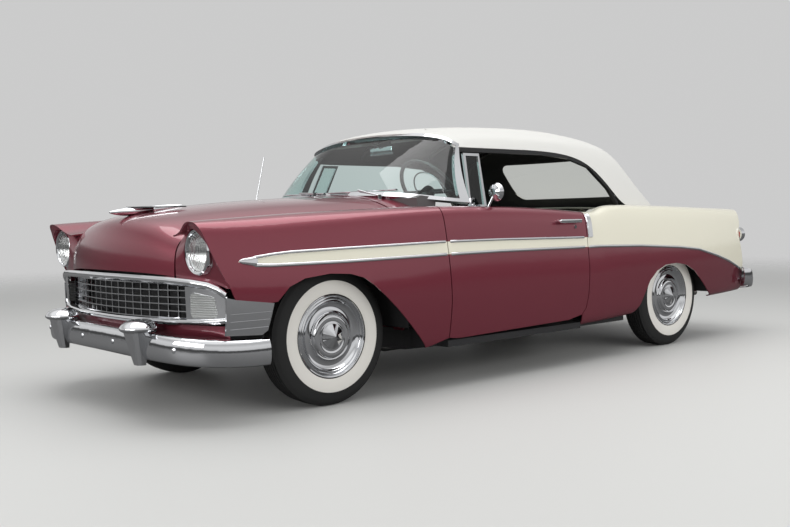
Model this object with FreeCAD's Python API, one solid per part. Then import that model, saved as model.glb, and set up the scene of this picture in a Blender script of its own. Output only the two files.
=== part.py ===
# Two-door convertible car of the 1950s with its fabric top up.
# Millimetres. The front faces -Y, the car's left side +X, up +Z, and the ground is z = 0.
import FreeCAD, Part
import math
import os

V = FreeCAD.Vector
os.makedirs("parts", exist_ok=True)

# Overall sizes
WHEELBASE = 2921.0
BODY_LENGTH = 5017.0
FRONT_OVERHANG = 934.0
HALF_WIDTH = 937.0
BELT_HEIGHT = 975.0
FRONT_AXLE_Y = FRONT_OVERHANG - BODY_LENGTH / 2
REAR_AXLE_Y = FRONT_AXLE_Y + WHEELBASE
FRONT_TRACK = 1473.0
REAR_TRACK = 1494.0

# Panels
SKIN = 7.0
FLOOR_SKIN = 6.0
HOOD_SKIN = 10.0
PANEL_GAP = 6.0
DOOR_THICKNESS = 140.0
OVERRUN = 60.0
SEAT_CLEAR = 0.3
RUN_CLEAR = 0.4

# Wheels
TYRE_RADIUS = 345.0
TYRE_HALF_WIDTH = 86.0
TYRE_BEAD_RADIUS = 196.0
TYRE_WALL = 14.0
RIM_HALF_WIDTH = 66.0
REAR_HOUSING = (405.0, 625.0, 890.0)


def at(x_share, y_share, z_share):
    """A place given as shares of half width, wheelbase behind the front axle, and belt height."""
    return V(HALF_WIDTH * x_share, FRONT_AXLE_Y + WHEELBASE * y_share, BELT_HEIGHT * z_share)


def knot_rows(count):
    inner = count - 4
    values = [0.0] + [(i + 1) / (inner + 1) for i in range(inner)] + [1.0]
    return values, [4] + [1] * inner + [4]


def surface(cage):
    u_values, u_counts = knot_rows(len(cage))
    v_values, v_counts = knot_rows(len(cage[0]))
    result = Part.BSplineSurface()
    result.buildFromPolesMultsKnots(cage, u_counts, v_counts, u_values, v_values, False, False, 3, 3)
    return result


def inset(cage, depth):
    """The cage moved inwards by depth; columns crossed with rows point outwards."""
    moved = []
    for i, row in enumerate(cage):
        new_row = []
        for j, point in enumerate(row):
            along = cage[min(i + 1, len(cage) - 1)][j] - cage[max(i - 1, 0)][j]
            across = row[min(j + 1, len(row) - 1)] - row[max(j - 1, 0)]
            normal = across.cross(along)
            normal.normalize()
            new_row.append(point - normal * depth)
        moved.append(new_row)
    return moved


def between(outer, inner):
    """The closed solid between two cages of the same layout."""
    a = surface(outer)
    b = surface(inner)
    faces = [a.toShape(), b.toShape()]
    for edge_a, edge_b in ((a.uIso(0), b.uIso(0)), (a.uIso(1), b.uIso(1)),
                           (a.vIso(0), b.vIso(0)), (a.vIso(1), b.vIso(1))):
        faces.append(Part.makeRuledSurface(edge_a.toShape(), edge_b.toShape()))
    shell = Part.makeShell(faces)
    shell.sewShape()
    solid = Part.makeSolid(shell)
    if solid.Volume < 0:
        solid.reverse()
    return solid


def mirrored(shape):
    return shape.mirror(V(0, 0, 0), V(1, 0, 0))


def polygon(points):
    return Part.Face(Part.makePolygon(points + [points[0]]))


def side_prism(outline_shares, inner_x, outer_x):
    """A prism along X over an outline of (wheelbase share, belt height share)."""
    points = [at(0, y, z) + V(inner_x, 0, 0) for y, z in outline_shares]
    return polygon(points).extrude(V(outer_x - inner_x, 0, 0))


def block(low, high):
    return Part.makeBox(high.x - low.x, high.y - low.y, high.z - low.z, low)


def turned(profile, centre, axis):
    """Revolves (radius, along) points about an axis through the centre."""
    side = V(0, 0, 1) if abs(axis.z) < 0.9 else V(1, 0, 0)
    side = side - axis * side.dot(axis)
    side.normalize()
    points = [centre + side * r + axis * a for r, a in profile]
    return polygon(points).revolve(centre, axis, 360)


def rod(start, end, radius):
    return Part.makeCylinder(radius, (end - start).Length, start, end - start)


def bent_rod(points, radius):
    """Straight rods joined by balls at their bends."""
    shape = rod(points[0], points[1], radius)
    for start, end in zip(points[1:], points[2:]):
        shape = shape.fuse(Part.makeSphere(radius, start)).fuse(rod(start, end, radius))
    return shape.removeSplitter()


CORNER_SIGNS = ((-1, -1), (1, -1), (1, 1), (-1, 1))


def beam(points, half_x, half_z):
    """A rectangular bar through points that run mainly along Y."""
    shape = None
    for start, end in zip(points, points[1:]):
        corners = []
        for p in (start, end):
            corners.append([p + V(sx * half_x, 0, sz * half_z) for sx, sz in CORNER_SIGNS])
        wires = [Part.makePolygon(c + [c[0]]) for c in corners]
        piece = Part.makeLoft(wires, True, True)
        shape = piece if shape is None else shape.fuse(piece)
    return shape.removeSplitter()


PIECES = {}


def save(name, shape):
    if shape.Volume < 0:
        shape = shape.reversed()
    PIECES[name] = shape


def joined(shapes):
    result = shapes[0].multiFuse(shapes[1:]) if len(shapes) > 1 else shapes[0]
    return result.removeSplitter()


# Body side: y, crown x and z, seam x and z (hood, door belt or deck edge), greatest half width, foot z
SIDE_SHARES = (
    (-0.272, 0.846, 0.944, 0.626, 0.874, 0.945, 0.373),
    (-0.256, 0.845, 0.949, 0.628, 0.882, 0.953, 0.369),
    (-0.236, 0.841, 0.953, 0.630, 0.890, 0.962, 0.363),
    (-0.205, 0.830, 0.958, 0.632, 0.899, 0.971, 0.350),
    (-0.154, 0.818, 0.966, 0.638, 0.913, 0.982, 0.330),
    (-0.086, 0.823, 0.977, 0.649, 0.931, 0.990, 0.300),
    (0.000, 0.835, 0.987, 0.662, 0.952, 0.997, 0.267),
    (0.086, 0.850, 0.996, 0.674, 0.968, 1.000, 0.234),
    (0.154, 0.862, 1.002, 0.685, 0.979, 1.001, 0.230),
    (0.212, 0.877, 1.005, 0.747, 0.991, 1.001, 0.230),
    (0.260, 0.892, 1.004, 0.835, 0.997, 1.001, 0.230),
    (0.342, 0.896, 1.002, 0.845, 0.995, 1.001, 0.232),
    (0.455, 0.899, 0.994, 0.847, 0.987, 1.001, 0.236),
    (0.565, 0.901, 0.978, 0.850, 0.971, 1.001, 0.242),
    (0.633, 0.902, 0.962, 0.851, 0.956, 1.001, 0.246),
    (0.671, 0.902, 0.955, 0.851, 0.950, 1.000, 0.250),
    (0.698, 0.899, 0.960, 0.845, 0.954, 1.000, 0.252),
    (0.722, 0.892, 0.993, 0.811, 0.974, 0.999, 0.256),
    (0.767, 0.886, 1.002, 0.747, 0.983, 0.999, 0.263),
    (0.839, 0.879, 0.999, 0.694, 0.978, 0.997, 0.273),
    (0.924, 0.871, 0.995, 0.672, 0.972, 0.993, 0.287),
    (1.000, 0.862, 0.989, 0.662, 0.966, 0.988, 0.299),
    (1.078, 0.854, 0.982, 0.653, 0.959, 0.980, 0.312),
    (1.164, 0.843, 0.974, 0.645, 0.951, 0.967, 0.320),
    (1.232, 0.832, 0.968, 0.638, 0.942, 0.954, 0.325),
    (1.284, 0.824, 0.963, 0.634, 0.933, 0.941, 0.330),
    (1.321, 0.815, 0.958, 0.630, 0.925, 0.928, 0.335),
    (1.356, 0.807, 0.954, 0.625, 0.917, 0.916, 0.340),
)
# Section from the crown outwards: share of the way from crown to greatest width, share of the height down
SECTION_SHARES = (
    (0.25, -0.004), (0.62, 0.035), (0.76, 0.16), (0.89, 0.33), (1.03, 0.52), (1.01, 0.72),
    (0.90, 0.90), (0.78, 1.0),
)
FOOT_RETURN = 45.0


def side_cage():
    rows = []
    for y, crown_x, crown_z, seam_x, seam_z, width, foot_z in SIDE_SHARES:
        row = [
            at(seam_x, y, seam_z),
            at(seam_x + (crown_x - seam_x) * 0.33, y, seam_z + (crown_z - seam_z) * 0.10),
            at(seam_x + (crown_x - seam_x) * 0.70, y, crown_z),
        ]
        for out, down in SECTION_SHARES:
            row.append(at(crown_x + (width - crown_x) * out, y, crown_z + (foot_z - crown_z) * down))
        row.append(row[-1] - V(FOOT_RETURN, 0, 0))
        rows.append(row)
    return rows


def seam_x_at(y_share):
    for low, high in zip(SIDE_SHARES, SIDE_SHARES[1:]):
        if y_share <= high[0]:
            part = max(0, (y_share - low[0]) / (high[0] - low[0]))
            return low[3] + (high[3] - low[3]) * part
    return SIDE_SHARES[-1][3]


# Across a hood or deck: share of the half width, share of the drop from middle to edge
ACROSS_SHARES = ((0, 0), (0.16, 0.01), (0.36, 0.08), (0.56, 0.22), (0.72, 0.42), (0.85, 0.70), (0.94, 0.92),
                 (1, 1))


def top_cage(rows_shares, edge_gap):
    """Rows of (middle y, middle z, edge y, edge z) spread across the body from right to left."""
    cage = []
    for y_mid, z_mid, y_edge, z_edge in rows_shares:
        half = seam_x_at(y_edge) - edge_gap / HALF_WIDTH
        left = []
        for across, drop in ACROSS_SHARES:
            y = y_mid + (y_edge - y_mid) * across ** 2
            left.append(at(half * across, y, z_mid + (z_edge - z_mid) * drop))
        cage.append([V(-p.x, p.y, p.z) for p in left[:0:-1]] + left)
    return cage


SIDE_CAGE = side_cage()
SIDE_SOLID = between(SIDE_CAGE, inset(SIDE_CAGE, SKIN))

# Side outlines as (wheelbase share, belt height share)
ABOVE_SHARE = 1.2
FENDER_NOSE_SHARES = ((-0.266, ABOVE_SHARE), (-0.2615, 0.965), (-0.2515, 0.903), (-0.236, 0.778),
                      (-0.2215, 0.682), (-0.2145, 0.650), (-0.206, 0.585), (-0.149, 0.56))
DOOR_FRONT_SHARES = ((0.236, ABOVE_SHARE), (0.236, 0.99), (0.240, 0.76), (0.243, 0.49), (0.239, 0.285),
                     (0.238, 0.2))
DOOR_REAR_SHARES = ((0.645, ABOVE_SHARE), (0.645, 0.60), (0.641, 0.44), (0.634, 0.355), (0.622, 0.318))
DOOR_BOTTOM_SHARE = 0.285
TAIL_SHARES = ((1.306, ABOVE_SHARE), (1.306, 0.86), (1.294, 0.74), (1.306, 0.55), (1.306, 0.33))
FRONT_ARCH_SHARES = ((-0.151, 0.2), (-0.149, 0.45), (-0.133, 0.565), (-0.110, 0.63), (-0.080, 0.665),
                     (-0.030, 0.680), (0.012, 0.672), (0.040, 0.648), (0.062, 0.605), (0.088, 0.540),
                     (0.119, 0.455), (0.153, 0.352), (0.186, 0.245), (0.190, 0.2))
REAR_ARCH_SHARES = ((0.805, 0.2), (0.812, 0.27), (0.836, 0.335), (0.853, 0.425), (0.868, 0.490),
                    (0.895, 0.55), (0.930, 0.585), (0.975, 0.592), (1.020, 0.572), (1.058, 0.525),
                    (1.090, 0.455), (1.125, 0.375), (1.160, 0.31), (1.165, 0.2))


def shifted(outline_shares, y_length, z_length):
    return [(y + y_length / WHEELBASE, z + z_length / BELT_HEIGHT) for y, z in outline_shares]


INNER_X = 0.0
OUTER_X = HALF_WIDTH + OVERRUN

# Front fender: the side skin from the lamp brow back to the door, with a face and a lamp tube in its nose
FENDER_OUTLINE = (list(FENDER_NOSE_SHARES) + list(FRONT_ARCH_SHARES)[2:-1]
                  + list(reversed(shifted(DOOR_FRONT_SHARES[:-1], -PANEL_GAP, 0))))
LAMP_X_SHARE = 0.813
LAMP_Y_SHARE = -0.2405
LAMP_Z_SHARE = 0.808
LAMP_RADIUS = 89.0
LAMP_RIM = 17.0
LAMP_TUBE = 7.0
LAMP_TUBE_DEPTH = 56.0
NOSE_SKIN = 8.0
NOSE_X_SHARES = (0.628, 0.70, 0.80, 0.90, 0.99)
# Height share of each row of the face, then its wheelbase shares at NOSE_X_SHARES
NOSE_ROWS_SHARES = (
    (0.640, (-0.2430, -0.2400, -0.2330, -0.2220, -0.2100)),
    (0.690, (-0.2470, -0.2440, -0.2370, -0.2270, -0.2160)),
    (0.765, (-0.2470, -0.2450, -0.2400, -0.2350, -0.2290)),
    (0.815, (-0.2440, -0.2450, -0.2430, -0.2400, -0.2370)),
    (0.860, (-0.2360, -0.2430, -0.2460, -0.2465, -0.2450)),
    (0.910, (-0.2220, -0.2400, -0.2510, -0.2535, -0.2515)),
    (0.960, (-0.2150, -0.2430, -0.2570, -0.2600, -0.2580)),
)
NOSE_FLOOR_SHARES = ((0.60, 0.692), (0.76, 0.682), (0.87, 0.668), (0.935, 0.646), (0.965, 0.618),
                     (0.99, 0.58), (0.99, 0.5), (0.60, 0.5))
NOSE_REACH_SHARES = (-0.30, -0.20)
NOSE_CAGE = [[at(x, y, z) for x, y in zip(NOSE_X_SHARES, row)] for z, row in NOSE_ROWS_SHARES]
NOSE_CORE = [[at(0.628, row[0], 0.60)] * len(SIDE_CAGE[0]) for row in SIDE_SHARES]


def nose_rod(radius):
    y0, y1 = NOSE_REACH_SHARES
    return rod(at(LAMP_X_SHARE, y0, LAMP_Z_SHARE), at(LAMP_X_SHARE, y1, LAMP_Z_SHARE), radius)


def nose_face():
    """The face between hood and side skin, from the brow down to the grille's top bar."""
    y0, y1 = NOSE_REACH_SHARES
    floor_outline = polygon([at(x, y0, z) for x, z in NOSE_FLOOR_SHARES])
    floor_cut = floor_outline.extrude(V(0, WHEELBASE * (y1 - y0), 0))
    inside = between(inset(SIDE_CAGE, SKIN / 2), NOSE_CORE)
    face = between(NOSE_CAGE, inset(NOSE_CAGE, NOSE_SKIN)).common(inside).cut(floor_cut)
    behind = between(inset(NOSE_CAGE, NOSE_SKIN / 2), inset(NOSE_CAGE, LAMP_TUBE_DEPTH))
    tube = nose_rod(LAMP_RADIUS + LAMP_RIM + LAMP_TUBE).common(behind)
    return face.fuse(tube).cut(nose_rod(LAMP_RADIUS + LAMP_RIM))


def fender():
    skin = SIDE_SOLID.common(side_prism(FENDER_OUTLINE, INNER_X, OUTER_X))
    return joined([skin, nose_face()])


FENDER_LEFT = fender()
save("front_fender_left", FENDER_LEFT)
save("front_fender_right", mirrored(FENDER_LEFT))

# Hood: one broad panel that turns down over the nose to the grille
HOOD_SHARES = (
    (-0.278, 0.710, -0.248, 0.692), (-0.277, 0.800, -0.248, 0.765), (-0.273, 0.872, -0.245, 0.815),
    (-0.262, 0.944, -0.238, 0.853), (-0.240, 0.978, -0.226, 0.880), (-0.205, 0.999, -0.202, 0.899),
    (-0.154, 1.022, -0.154, 0.913), (-0.086, 1.042, -0.086, 0.931), (0.000, 1.061, 0.000, 0.952),
    (0.080, 1.072, 0.080, 0.967), (0.140, 1.080, 0.140, 0.977), (0.187, 1.087, 0.187, 0.988),
)
HOOD_SWING_ROOM = 1.5
HOOD_CAGE = top_cage(HOOD_SHARES, PANEL_GAP + HOOD_SWING_ROOM)
HOOD_PANEL = between(HOOD_CAGE, inset(HOOD_CAGE, HOOD_SKIN))
HOOD_GAP_Y = at(0, 0.188, 0).y
HOOD_LEAF_X = 200.0
HOOD_LEAF_Z = 1047.0

# Doors: the outer skin, filled behind a flange by the inner box up to the door's inner face
DOOR_OUTLINE = (list(DOOR_FRONT_SHARES[:-1]) + [(0.262, 0.276), (0.58, DOOR_BOTTOM_SHARE + 0.01)]
                + list(reversed(DOOR_REAR_SHARES)))
DOOR_INNER_OUTLINE = ((0.258, ABOVE_SHARE), (0.258, 0.33), (0.60, 0.36), (0.625, 0.46), (0.628, ABOVE_SHARE))
DOOR_INNER_X = HALF_WIDTH - DOOR_THICKNESS
HINGE_X_SHARES = (0.955, 0.985)
HINGE_Y_SHARE = 0.2445
HINGE_Z_SHARES = (0.40, 0.63)
HINGE_RADIUS = 7.0
HINGE_HALF = 22.0
DOOR_CORE = [[at(0.70, row[0], 0.35)] * len(SIDE_CAGE[0]) for row in SIDE_SHARES]


def door():
    skin = SIDE_SOLID.common(side_prism(DOOR_OUTLINE, INNER_X, OUTER_X))
    inside = between(inset(SIDE_CAGE, SKIN * 0.5), DOOR_CORE)
    inner = side_prism(DOOR_INNER_OUTLINE, DOOR_INNER_X, OUTER_X).common(inside)
    shape = skin.fuse(inner)
    for z_share in HINGE_Z_SHARES:
        low = at(HINGE_X_SHARES[0], HINGE_Y_SHARE, z_share) + V(0, HINGE_RADIUS + RUN_CLEAR, -HINGE_HALF)
        inner_y_share = DOOR_INNER_OUTLINE[0][0] + SKIN / WHEELBASE
        high = at(HINGE_X_SHARES[1], inner_y_share, z_share) + V(0, 0, HINGE_HALF)
        shape = shape.fuse(block(low, high))
    return shape


DOOR_LEFT = door()
save("door_left", DOOR_LEFT)
save("door_right", mirrored(DOOR_LEFT))

# Rear quarters: the side skin behind the door, closed at the tail by a plate under the fin
REAR_OUTLINE = ([(y + PANEL_GAP / WHEELBASE, z) for y, z in DOOR_REAR_SHARES]
                + [(0.626, 0.24), (0.80, 0.262)] + list(REAR_ARCH_SHARES)[1:-1] + list(reversed(TAIL_SHARES)))
TAIL_PLATE = 8.0
TAIL_CORE = [[at(0.632, row[0], 0.36)] * len(SIDE_CAGE[0]) for row in SIDE_SHARES]


def quarter():
    skin = SIDE_SOLID.common(side_prism(REAR_OUTLINE, INNER_X, OUTER_X))
    end = [(y - SKIN / WHEELBASE, z) for y, z in TAIL_SHARES]
    slab = side_prism(end + list(reversed(shifted(end, -TAIL_PLATE, 0))), INNER_X, OUTER_X)
    plate = slab.common(between(inset(SIDE_CAGE, SKIN / 2), TAIL_CORE))
    return joined([skin, plate])


QUARTER_LEFT = quarter()
save("quarter_panel_left", QUARTER_LEFT)
save("quarter_panel_right", mirrored(QUARTER_LEFT))

# Deck and trunk lid share one surface that turns down over the tail
LID_FRONT_SHARE = 1.050
DECK_FRONT_SHARE = 0.90
DECK_SHARES = (
    (0.880, 1.000, 0.880, 0.976), (0.950, 1.000, 0.950, 0.970), (1.020, 0.998, 1.020, 0.964),
    (1.078, 0.994, 1.078, 0.959), (1.147, 0.986, 1.147, 0.952), (1.215, 0.975, 1.215, 0.943),
    (1.270, 0.963, 1.263, 0.935), (1.306, 0.944, 1.291, 0.920), (1.322, 0.905, 1.304, 0.890),
    (1.327, 0.851, 1.308, 0.846), (1.328, 0.759, 1.309, 0.759), (1.326, 0.656, 1.308, 0.656),
    (1.324, 0.574, 1.306, 0.574),
)
LID_SKIN = 10.0
DECK_CAGE = top_cage(DECK_SHARES, PANEL_GAP)
DECK_SOLID = between(DECK_CAGE, inset(DECK_CAGE, LID_SKIN))
LID_CUT_Y = at(0, LID_FRONT_SHARE, 0).y
TAIL_END_Y = at(0, 1.36, 0).y
LID_SPACE = block(V(-HALF_WIDTH, LID_CUT_Y + PANEL_GAP, 0), V(HALF_WIDTH, TAIL_END_Y, BELT_HEIGHT * 1.1))
DECK_SPACE = block(V(-HALF_WIDTH, at(0, DECK_FRONT_SHARE, 0).y, 0),
                   V(HALF_WIDTH, LID_CUT_Y, BELT_HEIGHT * 1.1))
LEAF_HALF = 24.0
LEAF_LENGTH = 70.0
LEAF_DEPTH = 15.0
LID_LEAF_X = 300.0
LID_LEAF_Z = 957.0


def leaf(x, y0, y1, top):
    """A hinge leaf under a panel's edge."""
    return block(V(x - LEAF_HALF, y0, top - LEAF_DEPTH), V(x + LEAF_HALF, y1, top))


def with_leaves(panel, x, y0, y1, top):
    left = leaf(x, y0, y1, top)
    return joined([panel, left, mirrored(left)])


LID_GAP_Y = LID_CUT_Y + PANEL_GAP / 2
save("trunk_lid", with_leaves(DECK_SOLID.common(LID_SPACE), LID_LEAF_X, LID_GAP_Y + RUN_CLEAR / 2,
                              LID_GAP_Y + LEAF_LENGTH, LID_LEAF_Z))
save("rear_deck", with_leaves(DECK_SOLID.common(DECK_SPACE), LID_LEAF_X, LID_GAP_Y - LEAF_LENGTH,
                              LID_GAP_Y - RUN_CLEAR / 2, LID_LEAF_Z))

# Tail panel below the lid, down behind the bumper
TAIL_PANEL_SHARES = (
    (1.324, 0.566, 1.306, 0.566), (1.323, 0.51, 1.305, 0.51), (1.318, 0.45, 1.300, 0.45),
    (1.306, 0.39, 1.288, 0.39), (1.290, 0.35, 1.272, 0.35),
)
TAIL_CAGE = top_cage(TAIL_PANEL_SHARES, 0)
TRUNK_SHELF_SHARES = (0.560, 1.30)


def tail_panel():
    """The panel with the shelf that joins it to the trunk floor."""
    panel = between(TAIL_CAGE, inset(TAIL_CAGE, SKIN))
    z_share, y_share = TRUNK_SHELF_SHARES
    start = at(0, y_share, z_share)
    half = V(HALF_WIDTH * 0.6, 0, 0)
    slab = block(start - half - V(0, 0, FLOOR_SKIN), start + half + V(0, HALF_WIDTH * 0.2, 0))
    ahead = between(inset(TAIL_CAGE, SKIN / 2), inset(TAIL_CAGE, HALF_WIDTH * 0.2))
    return joined([panel, slab.common(ahead)])


save("tail_panel", tail_panel())

# Cowl between hood and windshield, with the firewall below it
COWL_SHARES = (
    (0.189, 1.088, 0.189, 0.989), (0.203, 1.091, 0.206, 0.993), (0.220, 1.094, 0.226, 0.997),
    (0.236, 1.096, 0.244, 1.000), (0.250, 1.096, 0.262, 1.004),
)
FIREWALL = 8.0
FIREWALL_HALF_SHARE = 0.66
FLOOR_Z = 300.0
COWL_Y = at(0, 0.218, 0).y
COWL_CAGE = top_cage(COWL_SHARES, 0)
COWL_TOP = between(COWL_CAGE, inset(COWL_CAGE, SKIN))
FIREWALL_PLATE = block(V(-HALF_WIDTH * FIREWALL_HALF_SHARE, COWL_Y, FLOOR_Z),
                       V(HALF_WIDTH * FIREWALL_HALF_SHARE, COWL_Y + FIREWALL, BELT_HEIGHT * 0.99))
DOOR_CORNER_SHARES = ((0.30, DOOR_BOTTOM_SHARE), (0.30, ABOVE_SHARE))
DOOR_CORNER_X_SHARE = 0.775
DOOR_CORNER = side_prism(shifted(DOOR_FRONT_SHARES[:-1], -PANEL_GAP, 0) + list(DOOR_CORNER_SHARES),
                         HALF_WIDTH * DOOR_CORNER_X_SHARE, OUTER_X)
COWL = with_leaves(joined([COWL_TOP, FIREWALL_PLATE]), HOOD_LEAF_X, HOOD_GAP_Y + RUN_CLEAR / 2,
                   HOOD_GAP_Y + LEAF_LENGTH, HOOD_LEAF_Z)
save("cowl_panel", COWL.cut(DOOR_CORNER).cut(mirrored(DOOR_CORNER)))
HOOD_LEAF_FRONT = HOOD_GAP_Y - LEAF_LENGTH
save("hood", with_leaves(HOOD_PANEL, HOOD_LEAF_X, HOOD_LEAF_FRONT, HOOD_GAP_Y - RUN_CLEAR / 2, HOOD_LEAF_Z))

# Door posts below the belt and the rocker panels under the doors
POST_OUT_SHARE = 0.885
POST_IN_SHARE = 0.76
POST_FRONT_SHARE = 0.207
POST_REAR_SHARE = 0.2375
ROCKER_TOP = 262.0
ROCKER_BOTTOM = 226.0
ROCKER_OUT_SHARE = 0.975
ROCKER_IN_SHARE = 0.80
ROCKER_REAR_SHARE = 0.622
SILL_REAR_SHARE = 0.80
SILL_OUT_SHARE = 0.915
LOCK_POST_SHARES = (0.6535, 0.675)


def rocker():
    low = at(ROCKER_IN_SHARE, POST_REAR_SHARE, 0) + V(0, 0, ROCKER_BOTTOM)
    high = at(ROCKER_OUT_SHARE, ROCKER_REAR_SHARE, 0) + V(0, 0, ROCKER_TOP)
    inner = at(SILL_OUT_SHARE, SILL_REAR_SHARE, 0) + V(0, 0, ROCKER_TOP)
    return block(low, high).fuse(block(low, inner))


def posts():
    front = block(at(POST_IN_SHARE, POST_FRONT_SHARE, 0) + V(0, 0, ROCKER_BOTTOM),
                  at(POST_OUT_SHARE, POST_REAR_SHARE, 0.955))
    hinges = []
    for z_share in HINGE_Z_SHARES:
        knuckle_foot = at(sum(HINGE_X_SHARES) / 2, HINGE_Y_SHARE, z_share) - V(0, 0, HINGE_HALF)
        post_side = at(POST_OUT_SHARE - 0.02, POST_REAR_SHARE - 0.004, z_share) - V(0, 0, HINGE_HALF)
        lift = V(0, HINGE_RADIUS / 2, 0)
        strap = polygon([post_side, post_side + lift * 4, knuckle_foot + lift, knuckle_foot - lift])
        hinges.append(strap.extrude(V(0, 0, HINGE_HALF + HINGE_HALF)))
        hinges.append(Part.makeCylinder(HINGE_RADIUS, HINGE_HALF + HINGE_HALF, knuckle_foot))
    rear = block(at(POST_IN_SHARE, LOCK_POST_SHARES[0], 0) + V(0, 0, ROCKER_TOP),
                 at(POST_OUT_SHARE, LOCK_POST_SHARES[1], 0.915))
    return [front, rear] + hinges


BODY_SIDE = joined([rocker()] + posts())
save("door_posts", Part.makeCompound([BODY_SIDE, mirrored(BODY_SIDE)]))

# Floor with its tunnel, toe board and the step up over the rear axle
TUNNEL_HALF = 130.0
TUNNEL_TOP = 420.0
FLOOR_HALF_SHARE = 0.80
FLOOR_LINE_SHARES = ((0.225, 0.50), (0.275, 0.31), (0.66, 0.31), (0.74, 0.50), (0.92, 0.60), (1.22, 0.60),
                     (1.30, 0.56))


def floor():
    top = [at(0, y, z) for y, z in FLOOR_LINE_SHARES]
    low = [p - V(0, 0, FLOOR_SKIN) for p in reversed(top)]
    half = HALF_WIDTH * FLOOR_HALF_SHARE
    pan = polygon([p - V(half, 0, 0) for p in top + low]).extrude(V(half + half, 0, 0))
    y0 = top[0].y
    y1 = top[4].y
    hump = block(V(-TUNNEL_HALF, y0, FLOOR_Z - FLOOR_SKIN), V(TUNNEL_HALF, y1, TUNNEL_TOP))
    hollow = block(V(-TUNNEL_HALF + FLOOR_SKIN, y0 - FLOOR_SKIN, 0),
                   V(TUNNEL_HALF - FLOOR_SKIN, y1, TUNNEL_TOP - FLOOR_SKIN))
    hump = hump.cut(hollow)
    pan = pan.cut(block(V(-TUNNEL_HALF, y0, 0), V(TUNNEL_HALF, at(0, 0.70, 0).y, TUNNEL_TOP)))
    pan = joined([pan, hump])
    well_end = V(REAR_HOUSING[1], REAR_AXLE_Y, TYRE_RADIUS)
    well = Part.makeCylinder(REAR_HOUSING[0], HALF_WIDTH, well_end, V(1, 0, 0))
    return pan.cut(well).cut(mirrored(well))


save("floor_pan", floor())

# Chassis: two side rails that rise over the rear axle, an X brace and cross members
RAIL_HALF_X = 32.0
RAIL_HALF_Z = 58.0
RAIL_SHARES = ((0.36, -0.225, 0.42), (0.37, -0.10, 0.40), (0.40, 0.08, 0.33), (0.56, 0.24, 0.245),
               (0.60, 0.45, 0.235), (0.60, 0.72, 0.235), (0.53, 0.90, 0.465), (0.53, 1.06, 0.49),
               (0.53, 1.20, 0.44), (0.53, 1.265, 0.42))
CROSS_SHARES = (-0.20, 0.30, 0.62, 0.75, 1.25)


def rail_place(y_share):
    for low, high in zip(RAIL_SHARES, RAIL_SHARES[1:]):
        if y_share <= high[1]:
            part = (y_share - low[1]) / (high[1] - low[1])
            return low[0] + (high[0] - low[0]) * part, low[2] + (high[2] - low[2]) * part
    return RAIL_SHARES[-1][0], RAIL_SHARES[-1][2]


def chassis():
    left = beam([at(x, y, z) for x, y, z in RAIL_SHARES], RAIL_HALF_X, RAIL_HALF_Z)
    pieces = [left, mirrored(left)]
    for y_share in CROSS_SHARES:
        x_share, z_share = rail_place(y_share)
        middle = at(0, y_share, z_share)
        reach = V(HALF_WIDTH * x_share, RAIL_HALF_X, RAIL_HALF_Z * 0.7)
        pieces.append(block(middle - reach, middle + reach))
    return joined(pieces)


save("chassis_frame", chassis())


# Wheels: a tyre, and a steel wheel with its rim, disc, drum and domed cap
TYRE_SHARES = ((0.568, 0.72), (0.60, 0.86), (0.70, 0.985), (0.80, 1.0), (0.90, 0.93), (0.965, 0.80),
               (0.990, 0.60), (1.0, 0.30), (1.0, 0.0))
TYRE_INSIDE_SHARE = 0.84
# Rim, disc and drum in section: share of the bead radius, share of the rim's half width
RIM_SHARES = (
    (1.056, 1.09), (1.056, 1.0), (0.995, 0.94), (0.980, 0.61), (0.847, 0.30), (0.847, -0.30), (0.980, -0.61),
    (0.995, -0.94), (1.056, -1.0), (1.056, -1.09), (0.964, -1.0), (0.816, -0.36), (0.816, 0.36), (0.954, 0.67),
    (0.964, 1.0),
)
DISC_SHARES = (
    (0.832, 0.27), (0.765, 0.39), (0.612, 0.70), (0.469, 0.61), (0.357, 0.67), (0.306, 1.0), (0.184, 1.15),
    (0.061, 1.39), (0, 1.42), (0, 0.45), (0.469, 0.52), (0.602, 0.61), (0.755, 0.30), (0.832, 0.15),
)
DRUM_SHARES = (
    (0, 0.485), (0.724, 0.21), (0.765, 0.12), (0.765, -0.94), (0.714, -0.94), (0.714, 0), (0.153, 0),
    (0.153, -0.636), (0.112, -0.636), (0.112, 0.12), (0, 0.12),
)
BORE_RADIUS = TYRE_BEAD_RADIUS * DRUM_SHARES[-2][0]


def tyre(centre):
    half = [(TYRE_RADIUS * r, TYRE_HALF_WIDTH * w) for r, w in TYRE_SHARES]
    outer = half + [(r, -w) for r, w in reversed(half[:-1])]
    bead = TYRE_BEAD_RADIUS + TYRE_WALL
    inner = [(r - TYRE_WALL if r > bead else r, w * TYRE_INSIDE_SHARE) for r, w in half[1:]]
    inner = inner + [(r, -w) for r, w in reversed(inner[:-1])]
    points = [centre + V(w, 0, r) for r, w in outer + list(reversed(inner))]
    return polygon(points).revolve(centre, V(1, 0, 0), 360)


def wheel(centre):
    solids = []
    for shares in (RIM_SHARES, DISC_SHARES, DRUM_SHARES):
        points = [centre + V(RIM_HALF_WIDTH * w, 0, TYRE_BEAD_RADIUS * r) for r, w in shares]
        solids.append(polygon(points).revolve(centre, V(1, 0, 0), 360))
    return joined(solids)


for name, track, axle_y in (("front", FRONT_TRACK, FRONT_AXLE_Y), ("rear", REAR_TRACK, REAR_AXLE_Y)):
    hub = V(track / 2, axle_y, TYRE_RADIUS)
    tyre_solid = tyre(hub)
    wheel_solid = wheel(hub)
    save("tyre_" + name + "_left", tyre_solid)
    save("tyre_" + name + "_right", mirrored(tyre_solid))
    save("wheel_" + name + "_left", wheel_solid)
    save("wheel_" + name + "_right", mirrored(wheel_solid))

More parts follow.
